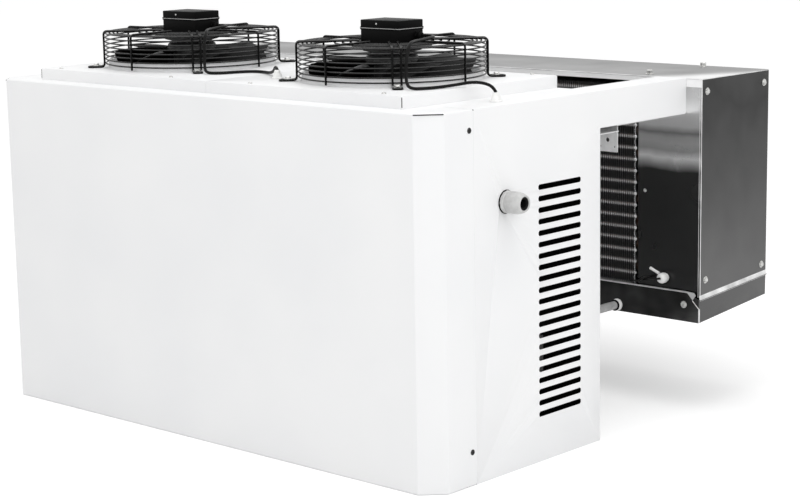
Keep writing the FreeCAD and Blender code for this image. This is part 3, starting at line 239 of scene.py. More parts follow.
right_route = [(323, 37, 735.9), (345, 37, 736.5), (366, 20, 737), (378, -18, 735.5), (390, -56, 735.5),
               (406, -90, 735), (410, -102, 710), (409, -103, 686), (414, -107, 667), (430, -114, 661.2),
               (446, -98, 661.2), (453, -65, 661.2), (462, -34, 663), (486, -22, 668), (510, -17, 667),
               (526, -14, 661), (530, -12, 652)]
left_route = [(-207, 37, 735.9), (-185, 37, 736.5), (-164, 20, 737), (-156, -16, 735.5),
              (-140, -50, 735.5), (-114, -78, 735), (-109, -88, 710), (-108, -89, 686), (-103, -94, 667),
              (-86, -104, 661.2), (-66, -98, 661.2), (-54, -72, 661.2), (-44, -42, 661.2),
              (-18, -30, 661.2), (16, -42, 661.2), (46, -60, 667), (70, -78, 680), (84, -88, 674)]
lead_route = [(526, 489, 254), (526, 470, 254), (518, 459, 257), (505, 460, 258), (491, 468, 252),
              (478, 479, 245), (464, 487, 241), (447, 494, 239)]
right_cable = cable("cable_right", right_route, 5.5, "fan_cable_right")
left_cable = cable("cable_left", left_route, 5.5, "fan_cable_left")
sensor_cable = cable("sensor_cable", lead_route, 4.0, "sensor_lead")
print("three cords laid")


# %% [markdown]
# ## Floor, backdrop and lamps
# The background is white and even. The floor is a pale sheet that keeps the unit's shadow, and it glows a
# little for the camera only, so that it reads white without sending more light to the unit.
# Three large soft lamps light the unit: one from above, one from the right, and a weak one in front.

# %% Floor, world and lamps
scene.world = bpy.data.worlds.new("studio")
scene.world.use_nodes = True
tree = scene.world.node_tree
rays = add_node(tree, "ShaderNodeLightPath", {}).outputs
seen = calculate(tree, "MAXIMUM", rays["Is Camera Ray"], rays["Is Glossy Ray"])
seen = calculate(tree, "MAXIMUM", seen, rays["Is Transmission Ray"])
room = tree.nodes["Background"]
room.inputs["Color"].default_value = rgb(1.0)
room.inputs["Strength"].default_value = 0.8
white = add_node(tree, "ShaderNodeBackground", {"Color": rgb(1.0)})
choice = add_node(tree, "ShaderNodeMixShader", {"Fac": seen, 1: room.outputs["Background"],
                                                2: white.outputs["Background"]})
tree.links.new(choice.outputs["Shader"], tree.nodes["World Output"].inputs["Surface"])

floor_mesh = bpy.data.meshes.new("floor")
floor_mesh.from_pydata([(-30, -30, 0), (30, -30, 0), (30, 30, 0), (-30, 30, 0)], [], [(0, 1, 2, 3)])
floor = stand("floor", floor_mesh)
floor_sheet, tree = new_finish("floor_sheet", 0.9, 0.9, 0.0, 0.0)
tree.nodes["Principled BSDF"].inputs["Emission Color"].default_value = rgb(1.0)
rays = add_node(tree, "ShaderNodeLightPath", {}).outputs
paint(tree, calculate(tree, "MULTIPLY", rays["Is Camera Ray"], 0.28), "Emission Strength")
floor_mesh.materials.append(floor_sheet)

for name, place, aim, width, watts in (("lamp_above", (0.4, -0.2, 4.0), (0.0, 0.2, 0.4), 3.0, 44),
                                       ("lamp_right", (4.2, -1.6, 2.4), (0.3, 0.0, 0.4), 2.4, 40),
                                       ("lamp_front", (-1.6, -4.2, 2.2), (0.0, 0.0, 0.4), 2.4, 7)):
    lamp = bpy.data.lights.new(name, "AREA")
    lamp.size = width
    lamp.energy = watts
    holder = stand(name, lamp)
    holder.location = place
    holder.rotation_euler = (Vector(aim) - Vector(place)).to_track_quat("-Z", "Y").to_euler()
scene.view_settings.view_transform = "Standard"
print("floor and", len(bpy.data.lights), "lamps")


# %% [markdown]
# ## White powder coat
# The housing is sheet steel with a baked powder coat. It is not mirror smooth: the powder flows into a
# faint orange peel, about two millimetres from bump to bump, and its gloss varies a little.
# Inside, the sheets are painted near black: painted shade, which makes the slots read dark. Both sides are
# one sheet, so the finish itself asks where a point lies: whatever is inside the housing's outline by half a
# sheet gets the painted shade.

# %% Powder coat
white_paint, tree = new_finish("white_powder_coat", 0.86, 0.42)
cloud = grain(tree, 260.0, 2.0)
coat = shades(tree, cloud, [(0.35, (0.84, 0.844, 0.852)), (0.65, (0.868, 0.87, 0.873))])
spread(tree, cloud, 0.38, 0.48)
relief(tree, grain(tree, 2.2, 2.0), 0.05, 0.25)
x, y, z = spot(tree)
across = calculate(tree, "ABSOLUTE", x)
bevel = calculate(tree, "SUBTRACT", across, y)
inside = calculate(tree, "LESS_THAN", across, 0.5692)
for value, operation, limit in ((bevel, "LESS_THAN", 0.7599), (y, "GREATER_THAN", -0.2272),
                                (y, "LESS_THAN", 0.2258), (z, "LESS_THAN", 0.6352)):
    inside = calculate(tree, "MULTIPLY", inside, calculate(tree, operation, value, limit))
# Near black inside the housing's outline: painted shade seen through the slots.
inner_painted_shade = add_node(tree, "ShaderNodeMix", {0: inside, 6: coat, 7: rgb(0.008)}, data_type="RGBA")
paint(tree, inner_painted_shade.outputs[2])
print("finish", white_paint.name)


# %% [markdown]
# ## Black finishes
# The guards are dipped in black plastic, which runs smooth and shines. Where a wire turns its shoulder
# up, a grey line is painted as a highlight, which draws every wire as two fine strokes. The fans are
# painted with a duller skin, and the terminal boxes have the fine sparkle of an eroded mould.

# %% Guard coating, fan skin, box plastic and motor paints
wire_coat_and_glints, tree = new_finish("guard_coating", 0.004, 0.25, 0.0, 0.1)
# Shoulders that face partly up are painted grey: a painted highlight along each wire.
shades(tree, facing(tree)["Z"], [(0.3, 0.003), (0.55, 0.07), (0.8, 0.09), (0.93, 0.004)])
runs = grain(tree, 5.0, 3.0)
spread(tree, runs, 0.18, 0.34)
relief(tree, runs, 0.2, 0.35)

long_runs = (1, 1, 0.25)
fan_skin = plain_finish("fan_skin", 0.004, 0.36, 0.0, 0.06, (45.0, 3.0), (0.002, 0.006), (0.28, 0.44),
                        (1.6, 4.0), (0.12, 0.3))
box_plastic = plain_finish("box_plastic", 0.004, 0.4, 0.0, 0.05, (0.9, 4.0), (0.003, 0.006), (0.34, 0.5),
                           None, (0.12, 0.5))
motor_paint = plain_finish("motor_paint", 0.12, 0.4, 0.0, 0.5, (9.0, 3.0, long_runs), (0.2, 0.3),
                           (0.28, 0.45), None, (0.15, 0.25))
can_paint = plain_finish("rotor_can_paint", 0.04, 0.4, 0.0, 0.3, (7.0, 3.0, long_runs), (0.025, 0.055),
                         (0.3, 0.45), None, (0.15, 0.25))
print("five dark finishes")


# %% [markdown]
# ## Metals
# The evaporator box is brushed stainless sheet: the brush leaves streaks along one direction, so the
# noise is stretched along it. A sheet also mirrors the bright and dark parts of the room around it, which
# a white backdrop can't give, so grey bands across its height stand for them.
# Galvanised sheet has flat crystals instead, for which Voronoi cells are the usual trick. Zinc screws are
# small, so a fine cloud is enough.

# %% Stainless sheet
level_brush = (0.05, 1, 1)


def brushed_steel(name, tone, stretch, rough_low, rough_high):
    """Brushed sheet whose streaks lie along the axis with the smallest stretch. Its colour is set later."""
    finish, tree = new_finish(name, tone, rough_high, 1.0)
    spread(tree, grain(tree, 120.0, 3.0), rough_low, rough_high)
    relief(tree, grain(tree, 1.4, 5.0, stretch), 0.03, 0.25)
    return finish, tree


end_steel, tree = brushed_steel("stainless_end_panels", 0.13, (1, 1, 0.05), 0.36, 0.5)
shades(tree, by_height(tree, 220, 636, 0.55, 110.0, (1, 1, 0.7)),
       [(0.0, 0.165), (0.25, 0.14), (0.5, 0.108), (0.72, 0.085), (0.86, 0.06), (1.0, 0.085)])

front_steel, tree = brushed_steel("stainless_front_strips", 0.03, level_brush, 0.2, 0.3)
shades(tree, by_height(tree, 400, 636, 0.07, 60.0),
       [(0.0, 0.05), (0.245, 0.055), (0.3, 0.42), (0.36, 0.95), (0.42, 0.46), (0.48, 0.55), (0.52, 0.5),
        (0.555, 0.28), (0.61, 0.7), (0.75, 0.85), (0.85, 0.6), (1.0, 0.48)])

lid_steel, tree = brushed_steel("stainless_lid", 0.34, level_brush, 0.42, 0.55)
# Painted reflection: the lid's front-facing fold and a wedge at its right end are painted lighter and less
# metallic.
fold = calculate(tree, "MAXIMUM", calculate(tree, "MULTIPLY", facing(tree)["Y"], -0.8), 0.0)
place = spot(tree)
slant = calculate(tree, "ADD", calculate(tree, "MULTIPLY", place["Y"], -0.6), place["X"])
fold = calculate(tree, "MAXIMUM", fold, map_range(tree, slant, 0.165, 0.26, 0.0, 0.4))
cloud = calculate(tree, "MULTIPLY", grain(tree, 190.0, 3.0), 0.35)
shades(tree, calculate(tree, "ADD", fold, cloud), [(0.1, 0.25), (0.24, 0.35), (0.5, 0.8), (0.9, 0.92)])
paint(tree, calculate(tree, "ADD", calculate(tree, "MULTIPLY", fold, -0.95), 1.0), "Metallic")

tray_steel, tree = brushed_steel("stainless_tray", 0.06, level_brush, 0.24, 0.36)
# Faces that turn to the side are painted lighter: painted sheen.
side_facing_sheen = calculate(tree, "ABSOLUTE", facing(tree)["X"])
shades(tree, calculate(tree, "MULTIPLY_ADD", side_facing_sheen, 0.5, grain(tree, 90.0, 2.0)),
       [(0.4, 0.016), (0.62, 0.05), (0.8, 0.1), (1.0, 0.13)])

# Hems and beads are painted much brighter than the stainless sheets: painted highlight.
edge_highlight_steel, tree = brushed_steel("edges_painted_bright", 0.8, (1, 1, 1), 0.25, 0.4)
shades(tree, grain(tree, 30.0, 3.0), [(0.3, 0.6), (0.7, 0.95)])
satin_steel = plain_finish("satin_sheet", 0.75, 0.5, 0.3, 0.5, (18.0, 3.0), (0.68, 0.8), (0.45, 0.6),
                           (0.8, 4.0, (1, 1, 0.1)), (0.02, 0.2), 0.3, 0.7)
print("stainless sheets ready")


# %% Galvanised sheet, zinc, dark screws, copper and coil metals
galvanised, tree = new_finish("galvanised_sheet", (0.5, 0.51, 0.52), 0.4, 1.0)
place = add_node(tree, "ShaderNodeTexCoord", {})
crystal = add_node(tree, "ShaderNodeTexVoronoi", {"Vector": place.outputs["Object"], "Scale": 90.0}).outputs
shades(tree, crystal["Color"], [(0.2, (0.38, 0.39, 0.4)), (0.8, (0.6, 0.61, 0.62))])
spread(tree, crystal["Color"], 0.32, 0.5)
relief(tree, crystal["Distance"], 0.02, 0.2)

zinc = plain_finish("zinc_plated", (0.72, 0.72, 0.71), 0.28, 1.0, 0.5, (3.0, 3.0),
                    ((0.55, 0.55, 0.54), (0.82, 0.82, 0.8)), (0.2, 0.38), None, (0.05, 0.2))
dark_screw = plain_finish("blackened_screw", 0.02, 0.4, 0.6, 0.5, (1.5, 3.0), (0.012, 0.04), (0.3, 0.5),
                          None, (0.05, 0.3))
copper = plain_finish("copper_tube", (0.6, 0.28, 0.16), 0.3, 1.0, 0.5, (24.0, 4.0),
                      ((0.3, 0.12, 0.07), (0.72, 0.36, 0.22)), (0.22, 0.46), None, (0.1, 0.2), 0.3, 0.7)

tube_pitch = 22.0
first_tube = 232.3
fin_metal, tree = new_finish("coil_fins", 0.3, 0.42, 0.7)
# Lighter bands at the height of every tube: painted highlight on the fins' collars.
phase = calculate(tree, "MULTIPLY", spot(tree)["Z"], full_turn / (tube_pitch * millimetre))
tube_band_highlight = calculate(tree, "COSINE", calculate(tree, "SUBTRACT", phase, full_turn * first_tube / tube_pitch))
shades(tree, tube_band_highlight, [(0.0, 0.09), (0.45, 0.16), (0.8, 0.38), (1.0, 0.62)])
cloud = grain(tree, 14.0, 3.0)
spread(tree, cloud, 0.36, 0.5)
relief(tree, cloud, 0.1, 0.2)
print("metals ready")


# %% [markdown]
# ## Light plastics, rubber and foam
# The gland, the small sensor gland, the drain nut and the grommets are light plastic. Their seals are
# black rubber. The suction pipe wears a sleeve of black foam, full of tiny closed pores.

# %% Gland plastic, white plastic, rubber, foam, compressor enamel and drain hose
def plain_plastic(name, dark, light, speck, rough_low, rough_high, shine=0.5):
    """Moulded plastic with a fine even skin."""
    return plain_finish(name, light, rough_high, 0.0, shine, (speck * 12, 2.0), (dark, light),
                        (rough_low, rough_high), (speck, 4.0), (0.06, 0.3))


gland_plastic = plain_plastic("gland_plastic", (0.5, 0.5, 0.495), (0.58, 0.58, 0.575), 0.8, 0.3, 0.4)
white_plastic = plain_plastic("white_plastic", (0.78, 0.78, 0.77), (0.86, 0.86, 0.85), 0.8, 0.35, 0.48)
grommet_plastic = plain_plastic("grommet_plastic", (0.8, 0.8, 0.79), (0.88, 0.88, 0.87), 1.0, 0.4, 0.55)
seal_rubber = plain_plastic("seal_rubber", 0.006, 0.012, 0.7, 0.55, 0.7, 0.1)
pipe_foam = plain_plastic("pipe_foam", 0.01, 0.028, 1.4, 0.75, 0.9)
enamel = plain_plastic("compressor_enamel", 0.01, 0.02, 2.4, 0.25, 0.4)
drain_hose = plain_plastic("drain_hose", 0.34, 0.44, 1.0, 0.3, 0.42)
print("plastics ready")


# %% [markdown]
# ## Tools for shapes
# Pieces are built in bmesh, which is quick and says exactly which face joins which. A turned piece is a
# profile spun about an axis, a wire is a circle carried along a path, and a folded sheet is a copy of
# the CAD sheet whose sharp edges get a small round.

# %% Tools for shapes
def move(work, place):
    """Moves everything in a bmesh."""
    bmesh.ops.transform(work, matrix=place, verts=work.verts)
    return work


def raw_mesh(work):
    """A mesh with the same points as a bmesh, which is used up."""
    mesh = bpy.data.meshes.new("piece")
    work.to_mesh(mesh)
    work.free()
    return mesh


def set_piece(name, work, finish, slot, *nodes, body="unit", soft_angle=30.0):
    """Puts a bmesh in millimetres into the scene, with outward faces and its sharp edges kept."""
    bmesh.ops.recalc_face_normals(work, faces=work.faces)
    for face in work.faces:
        face.smooth = True
        face.material_index = 0
    for edge in work.edges:
        edge.smooth = len(edge.link_faces) == 2 and edge.calc_face_angle() < math.radians(soft_angle)
    mesh = raw_mesh(move(work, Matrix.Scale(millimetre, 4)))
    mesh.materials.append(finish)
    piece = stand(name, mesh)
    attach(piece, body)
    if nodes:
        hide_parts(*nodes)
    print(name, len(mesh.polygons), "faces")


def along(axis, centre):
    """A place whose own Z axis points along a given axis."""
    return Matrix.Translation(Vector(centre)) @ Vector(axis).to_track_quat("Z", "Y").to_matrix().to_4x4()


def polar(radius, turn, height):
    """A point at a distance from the Z axis, in a direction given by its turn about it."""
    return Vector((radius * math.cos(turn), radius * math.sin(turn), height))


def skin(work, rows, closed=False, capped=False):
    """Faces between neighbouring rows of points, each row a loop. Closed joins the last row to the first,
    and capped puts a face on each end."""
    for first, second in zip(rows, rows[1:] + (rows[:1] if closed else [])):
        count = max(len(first), len(second))
        for i in range(count):
            j = (i + 1) % count
            corners = [first[i % len(first)], first[j % len(first)], second[j % len(second)],
                       second[i % len(second)]]
            work.faces.new(list(dict.fromkeys(corners)))
    if capped:
        work.faces.new(rows[0][::-1])
        work.faces.new(rows[-1])


def spin(work, profile, sides, place=Matrix.Identity(4)):
    """Adds a turned shape. Its profile of (radius, height) pairs starts and ends on the axis, or else is a
    loop that keeps clear of it."""
    rows = []
    for radius, height in profile:
        turns = [full_turn * i / sides for i in range(sides)] if radius else [0.0]
        rows.append([work.verts.new(place @ polar(radius, turn, height)) for turn in turns])
    skin(work, rows, closed=profile[0][0] > 0)
    return work


def wire(work, path, radius, sides=8):
    """Adds a round wire along a path of points."""
    path = [Vector(point) for point in path]
    side = (path[1] - path[0]).normalized().orthogonal().normalized()
    rows = []
    for i, point in enumerate(path):
        ahead = (path[min(i + 1, len(path) - 1)] - path[max(i - 1, 0)]).normalized()
        side = (side - ahead * side.dot(ahead)).normalized()
        up = ahead.cross(side)
        rows.append([])
        for k in range(sides):
            turn = full_turn * k / sides
            rows[-1].append(work.verts.new(point + (side * math.cos(turn) + up * math.sin(turn)) * radius))
    skin(work, rows, capped=True)
    return work


def eased(points, bend, steps=5):
    """A path whose corners are rounded."""
    points = [Vector(point) for point in points]
    route = [points[0]]
    for before, corner, after in zip(points, points[1:], points[2:]):
        start = corner + (before - corner).normalized() * bend
        end = corner + (after - corner).normalized() * bend
        for i in range(steps + 1):
            share = i / steps
            route.append(start * (1 - share) ** 2 + corner * 2 * share * (1 - share) + end * share ** 2)
    return route + [points[-1]]


def block(work, low, high, edge, steps):
    """Adds a box with rounded edges between two corners."""
    made = bmesh.ops.create_cube(work, size=1.0)["verts"]
    size = Vector(high) - Vector(low)
    middle = (Vector(high) + Vector(low)) / 2
    for vert in made:
        vert.co = vert.co * size + middle
    edges = list({link for vert in made for link in vert.link_edges})
    bmesh.ops.bevel(work, geom=edges, offset=edge, segments=steps, profile=0.5, affect="EDGES")
    return work


def ribs(work, count, low, high, edge, steps, place=Matrix.Identity(4)):
    """Adds a ring of small blocks about a place's own Z axis."""
    for i in range(count):
        rib = block(bmesh.new(), low, high, edge, steps)
        work.from_mesh(raw_mesh(move(rib, place @ Matrix.Rotation(full_turn * i / count, 4, "Z"))))
    return work


print("tools for shapes ready")


# %% [markdown]
# ## Folded sheets
# A press brake folds sheet steel round a small radius, and every cut edge is dulled. The CAD sheets have
# knife edges, which catch no light. A merged copy of each gets a wide round where two broad faces meet,
# and a narrow one along its rims. A few corners of the copy are first moved by a millimetre or more, to the
# shape that the real sheet has there.

# %% Folded sheets
def round_edges(work, edges, size, segments):
    """Rounds edges off."""
    if edges and size > 0:
        bmesh.ops.bevel(work, geom=edges, offset=size, segments=segments, profile=0.5, affect="EDGES",
                        clamp_overlap=True)


def sharper_than(work, degrees):
    """Edges at which two faces meet at more than an angle."""
    return [edge for edge in work.edges
            if len(edge.link_faces) == 2 and edge.calc_face_angle() > math.radians(degrees)]


def folded(name, node, finish, slot, fold, rim, correct=None):
    """A copy of a CAD sheet with rounded folds and dulled rims, which stands for its node."""
    work = bmesh.new()
    work.from_mesh(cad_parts[node].data)
    move(work, Matrix.Scale(1 / millimetre, 4))
    bmesh.ops.remove_doubles(work, verts=work.verts, dist=0.01)
    bmesh.ops.dissolve_limit(work, angle_limit=math.radians(1.0), verts=work.verts, edges=work.edges)
    if correct:
        for vert in work.verts:
            correct(vert.co)
    broad = {face for face in work.faces if 2 * face.calc_area() / face.calc_perimeter() > 4.0}
    round_edges(work, [edge for edge in sharper_than(work, 20) if broad.issuperset(edge.link_faces)], fold, 3)
    round_edges(work, sharper_than(work, 60), rim, 1)
    set_piece(name, work, finish, slot, node, soft_angle=40.0)


def near(value, target):
    """Whether a coordinate is the one on the drawing."""
    return abs(value - target) < 0.2


def side_corrections(point):
    """Slots a little taller, and an arm whose lower corner is nearly square."""
    row = round((point.z - 86) / 20)
    from_slot = point.z - 86 - row * 20
    if 50.8 < point.y < 171.2 and 0 <= row <= 20 and abs(from_slot) < 4.5:
        point.z += from_slot * 0.13
    if point.y > 480 and near(point.z, 579):
        point.z = 573
    if near(point.y, 486) and near(point.z, 570):
        point.y = 492


def window_corrections(point):
    """A coil window that is a little larger."""
    if near(abs(point.x), 454):
        point.x = math.copysign(462, point.x)
        if near(point.z, 620):
            point.z = 626


def lid_corrections(point):
    """A shallower front fold over the coil."""
    if near(point.z, 620) and abs(point.x) < 520:
        point.z = 625.5


def tab_corrections(point):
    """Wall tabs that reach up into the arm and are a little narrower."""
    if point.z > 555:
        point.z = 588
    if near(abs(point.x), 552):
        point.x = math.copysign(548.5, point.x)


folded("cover_sheet", "front_cover", white_paint, "white_paint", 2.2, 0.35)
folded("side_sheet_right", "side_panel_right", white_paint, "white_paint", 1.6, 0.3, side_corrections)
folded("side_sheet_left", "side_panel_left", white_paint, "white_paint", 1.6, 0.3, side_corrections)
folded("tab_plates", "wall_tabs", satin_steel, "galvanised", 0, 0.2, tab_corrections)
folded("end_sheet_right", "evaporator_end_right", end_steel, "stainless", 0, 0.3)
folded("end_sheet_left", "evaporator_end_left", end_steel, "stainless", 0, 0.3)
folded("front_strips", "evaporator_front", front_steel, "stainless", 0, 0.3, window_corrections)
folded("lid_sheet", "evaporator_top", lid_steel, "stainless", 1.2, 0.3, lid_corrections)
folded("tray_sheet", "drip_tray", tray_steel, "stainless", 1.2, 0.3)
folded("back_sheet", "evaporator_rear", end_steel, "stainless", 0, 0.3)


# %% [markdown]
# ## Bright hems
# A hem is an edge folded back on itself. It hides the sharp cut, and because it is round it catches a thin
# line of light that the flat sheet doesn't; its finish is also painted much brighter than the sheets, as
# painted highlight. The tray's side lip leans outwards, so that water from the end panel runs into the tray.

# %% Hems of the evaporator box
box_ends = ((1, 605.0), (-1, -741.0))
box_front, box_top = 495.0, 636.0
front_hem, tray_hem = box_front - 1.1, 488.2
hems = bmesh.new()
for sign, face in box_ends:
    edge = face - sign * 0.6
    for path, radius in (
            ([(face - sign * 0.2, 494.8, 224), (face - sign * 0.2, 494.8, 634)], 0.9),
            ([(face - sign * 4.2, 494.4, 224), (face - sign * 4.2, 494.4, 619)], 0.6),
            ([(edge, 494.4, 635), (edge, 723.5, 635)], 0.95),
            ([(sign * 571.6, front_hem, 635), (edge, front_hem, 635)], 0.95),
            ([(face - sign * 13, tray_hem, 218), (face - sign, tray_hem, 206), (face + sign * 1.6, 489, 203)],
             0.8),
            ([(face + sign * 1.2, 490.2, 176), (face + sign * 1.2, 490.2, 203)], 1.6)):
        wire(hems, path, radius)
    gusset = [(face - sign * 28, 233.6), (face - sign * 9, 231.8), (face - sign * 6.5, 227.5),
              (face - sign * 13.5, 218.5)]
    skin(hems, [[hems.verts.new((x, y, z)) for x, z in gusset] for y in (489.4, 490.6)], capped=True)
    root, lip = face + sign * 0.1, face + sign * 2.9
    skin(hems, [[hems.verts.new(point) for point in ((root, y, z + 8.5), (lip, y, z), (lip, y, z - 1.2),
                                                     (root, y, z - 1.2))]
                for y, z in ((491.5, 219.2), (723.5, 234.4))], capped=True)
wire(hems, [(-506, front_hem, 635), (506, front_hem, 635)], 0.95)
wire(hems, [(-732, tray_hem, 231.8), (-713, tray_hem, 233), (577, tray_hem, 233), (596, tray_hem, 231.8)],
     1.7)
set_piece("bright_hems", hems, edge_highlight_steel, "stainless", soft_angle=35.0)


# %% [markdown]
# ## Fan decks
# Each deck is a pressed pan with a round nozzle. The nozzle's lip rises a little and turns over, so that
# air leaves the fan smoothly. A ring of points round the nozzle and one round the pan's edge share the
# same directions from the fan's middle, so plain strips of faces join them.

# %% Fan decks
fan_middle, fan_row = 265.0, 21.0
housing_top, deck_top = 636.0, 658.0
deck_near, deck_far, deck_inner, deck_outer = -186.0, 228.0, 0.25, 474.0
nozzle_outside = [(156.0, 628.0), (156.0, 671.0), (156.6, 673.4), (158.2, 674.8), (160.2, 674.4),
                  (161.4, 672.4), (161.8, 662.4), (163.0, 659.6), (165.5, deck_top)]
pan_edge = [(1.6, deck_top), (0.5, 657.5), (0.0, 656.4), (0.0, housing_top), (1.5, housing_top),
            (1.5, 656.0), (2.2, 656.5)]
nozzle_inside = [(165.0, 656.5), (161.6, 658.6), (160.3, 662.0), (160.0, 671.8), (159.0, 673.3),
                 (157.8, 672.0), (157.5, 670.0), (157.5, 628.0)]


def reach(turn, inset):
    """How far a ray from the fan's middle goes until it meets the deck's edge, moved in by an inset."""
    across, back = math.cos(turn), math.sin(turn)
    limits = ((deck_outer - inset - fan_middle, across), (deck_inner + inset - fan_middle, across),
              (deck_far - inset - fan_row, back), (deck_near + inset - fan_row, back))
    return min(limit / share for limit, share in limits if limit * share > 0)


def deck_sheet(side):
    """The pressed deck with its nozzle, as one closed sheet."""
    corners = {math.atan2(y - fan_row, x - fan_middle) % full_turn
               for x in (deck_inner, deck_outer) for y in (deck_near, deck_far)}
    turns = sorted(corners | {full_turn * i / 96 for i in range(96)})
    loops = [([radius] * len(turns), height) for radius, height in nozzle_outside]
    loops += [([reach(turn, inset) for turn in turns], height) for inset, height in pan_edge]
    loops += [([radius] * len(turns), height) for radius, height in nozzle_inside]
    work = bmesh.new()
    rows = []
    for radii, height in loops:
        rows.append([work.verts.new((side * (fan_middle + radius * math.cos(turn)),
                                     fan_row + radius * math.sin(turn), height))
                     for turn, radius in zip(turns, radii)])
    skin(work, rows, closed=True)
    return work


set_piece("deck_right", deck_sheet(1), white_paint, "white_paint", "fan_deck_right", soft_angle=35.0)
set_piece("deck_left", deck_sheet(-1), white_paint, "white_paint", "fan_deck_left", soft_angle=35.0)


# %% [markdown]
# ## Seams and open corners
# A folded cover isn't welded at its corners, so a dark slit stays where two folds meet. Thin black rods lie
# in these slits as painted shadow of the open slits. The seam between the cover and each side sheet is backed
# by a white strip, so it reads as a fine line only.

# %% Seams and open corners
housing_side = 570.0
backing = bmesh.new()
slit_shadows = bmesh.new()
for sign in (1, -1):
    block(backing, (sign * 568.2, -120.6, 2), (sign * 569.72, -118.4, 634), 0.1, 1)
    # Black rods in the open slits: painted shadow.
    wire(slit_shadows, [(sign * 534.2, -227.0, 634.3), (sign * 569.2, -192.0, 634.3)], 0.95, 6)
    wire(slit_shadows, [(sign * 473.7, -185.7, 638.5), (sign * 473.7, -185.7, 655.5)], 0.75, 6)
    wire(slit_shadows, [(sign * 569.5, -119.5, 633.8), (sign * 569.5, -119.5, 635.6)], 0.9, 6)
set_piece("seam_backing", backing, white_paint, "white_paint", soft_angle=35.0)
set_piece("corner_seals", slit_shadows, seal_rubber, "seal_black", soft_angle=35.0)


# %% [markdown]
# ## Geometry Nodes for what repeats
# Guard rings, blades, fins and screws repeat by a rule, which is what Geometry Nodes are for. Each tree
# is built here with named inputs, so it can be opened and changed by hand. Copies are realised and
# painted at the end of the tree, because an export keeps only real faces.

# %% Tools for node trees
def new_tree(name, inputs):
    """A node tree with named inputs. Returns it with the sockets of these inputs."""
    tree = bpy.data.node_groups.new(name, "GeometryNodeTree")
    tree.interface.new_socket("Geometry", in_out="INPUT", socket_type="NodeSocketGeometry")
    for label, (kind, value) in inputs.items():
        socket = tree.interface.new_socket(label, in_out="INPUT", socket_type="NodeSocket" + kind)
        if value is not None:
            socket.default_value = value
    tree.interface.new_socket("Geometry", in_out="OUTPUT", socket_type="NodeSocketGeometry")
    return tree, add_node(tree, "NodeGroupInput", {}).outputs


def close_tree(tree, result, finish):
    """Ends a tree with real faces and their material."""
    real = add_node(tree, "GeometryNodeRealizeInstances", {"Geometry": result})
    painted = add_node(tree, "GeometryNodeSetMaterial", {"Geometry": real, "Material": finish})
    add_node(tree, "NodeGroupOutput", {"Geometry": painted})
    return tree


def grow(work, tree, values, base=None, place=Matrix.Identity(4)):
    """Adds to a bmesh what a tree makes from a base mesh and its named values."""
    holder = stand("holder", base or bpy.data.meshes.new("holder"))
    modifier = holder.modifiers.new("tree", "NODES")
    modifier.node_group = tree
    for item in tree.interface.items_tree:
        if item.in_out == "INPUT" and item.name in values:
            modifier[item.identifier] = values[item.name]
    view = bpy.context.evaluated_depsgraph_get()
    mesh = bpy.data.meshes.new_from_object(holder.evaluated_get(view))
    holder.modifiers.clear()
    bpy.data.objects.remove(holder)
    mesh.transform(place)
    work.from_mesh(mesh)
    return work


# %% Tree that stacks rings of wire
def ring_tree(finish):
    """Rings of wire, one above or inside the other."""
    tree, given = new_tree("stack_of_rings", {
        "Rings": ("Int", 5), "First Radius": ("Float", 100.0), "Radius Step": ("Float", 0.0),
        "Height Step": ("Float", 8.0), "Wire Radius": ("Float", 2.0), "Sides": ("Int", 64)})
    rise = add_node(tree, "ShaderNodeCombineXYZ", {"Z": given["Height Step"]})
    line = add_node(tree, "GeometryNodeMeshLine", {"Count": given["Rings"], "Offset": rise})
    index = add_node(tree, "GeometryNodeInputIndex", {})
    radius = calculate(tree, "MULTIPLY_ADD", index, given["Radius Step"], given["First Radius"])
    size = add_node(tree, "ShaderNodeCombineXYZ", {"X": radius, "Y": radius, "Z": 1.0})
    circle = add_node(tree, "GeometryNodeCurvePrimitiveCircle", {"Radius": 1.0, "Resolution": given["Sides"]})
    copies = add_node(tree, "GeometryNodeInstanceOnPoints",
                      {"Points": line, "Instance": circle, "Scale": size})
    real = add_node(tree, "GeometryNodeRealizeInstances", {"Geometry": copies})
    section = add_node(tree, "GeometryNodeCurvePrimitiveCircle",
                       {"Resolution": 6, "Radius": given["Wire Radius"]})
    sweep = add_node(tree, "GeometryNodeCurveToMesh", {"Curve": real, "Profile Curve": section})
    return close_tree(tree, sweep, finish)


# %% Tree that turns copies round an axis
def turning_tree(finish):
    """Copies of the base mesh, turned round the Z axis."""
    tree, given = new_tree("copies_round_an_axis", {"Copies": ("Int", 4), "First Turn": ("Float", 0.0)})
    line = add_node(tree, "GeometryNodeMeshLine", {"Offset": (0, 0, 0), "Count": given["Copies"]})
    step = calculate(tree, "DIVIDE", full_turn, given["Copies"])
    index = add_node(tree, "GeometryNodeInputIndex", {})
    turn = calculate(tree, "MULTIPLY_ADD", index, step, given["First Turn"])
    angle = add_node(tree, "ShaderNodeCombineXYZ", {"Z": turn})
    copies = add_node(tree, "GeometryNodeInstanceOnPoints",
                      {"Points": line, "Instance": given["Geometry"], "Rotation": angle})
    return close_tree(tree, copies, finish)


# %% Tree that lines up copies
def row_tree(finish):
    """Copies of the base mesh in a straight row."""
    tree, given = new_tree("copies_in_a_row", {"Copies": ("Int", 10), "Step": ("Vector", (10.0, 0.0, 0.0))})
    line = add_node(tree, "GeometryNodeMeshLine", {"Count": given["Copies"], "Offset": given["Step"]})
    copies = add_node(tree, "GeometryNodeInstanceOnPoints", {"Points": line, "Instance": given["Geometry"]})
    return close_tree(tree, copies, finish)


print("three trees described")


# %% [markdown]
# ## Wire guards
# A guard is a cage of welded steel wire: seven rings round its side, eight on top, a U-shaped loop at each
# foot that goes round a screw, and one spoke between two feet. The rings come from one tree, and one
# loop and one spoke are turned round the fan by another.

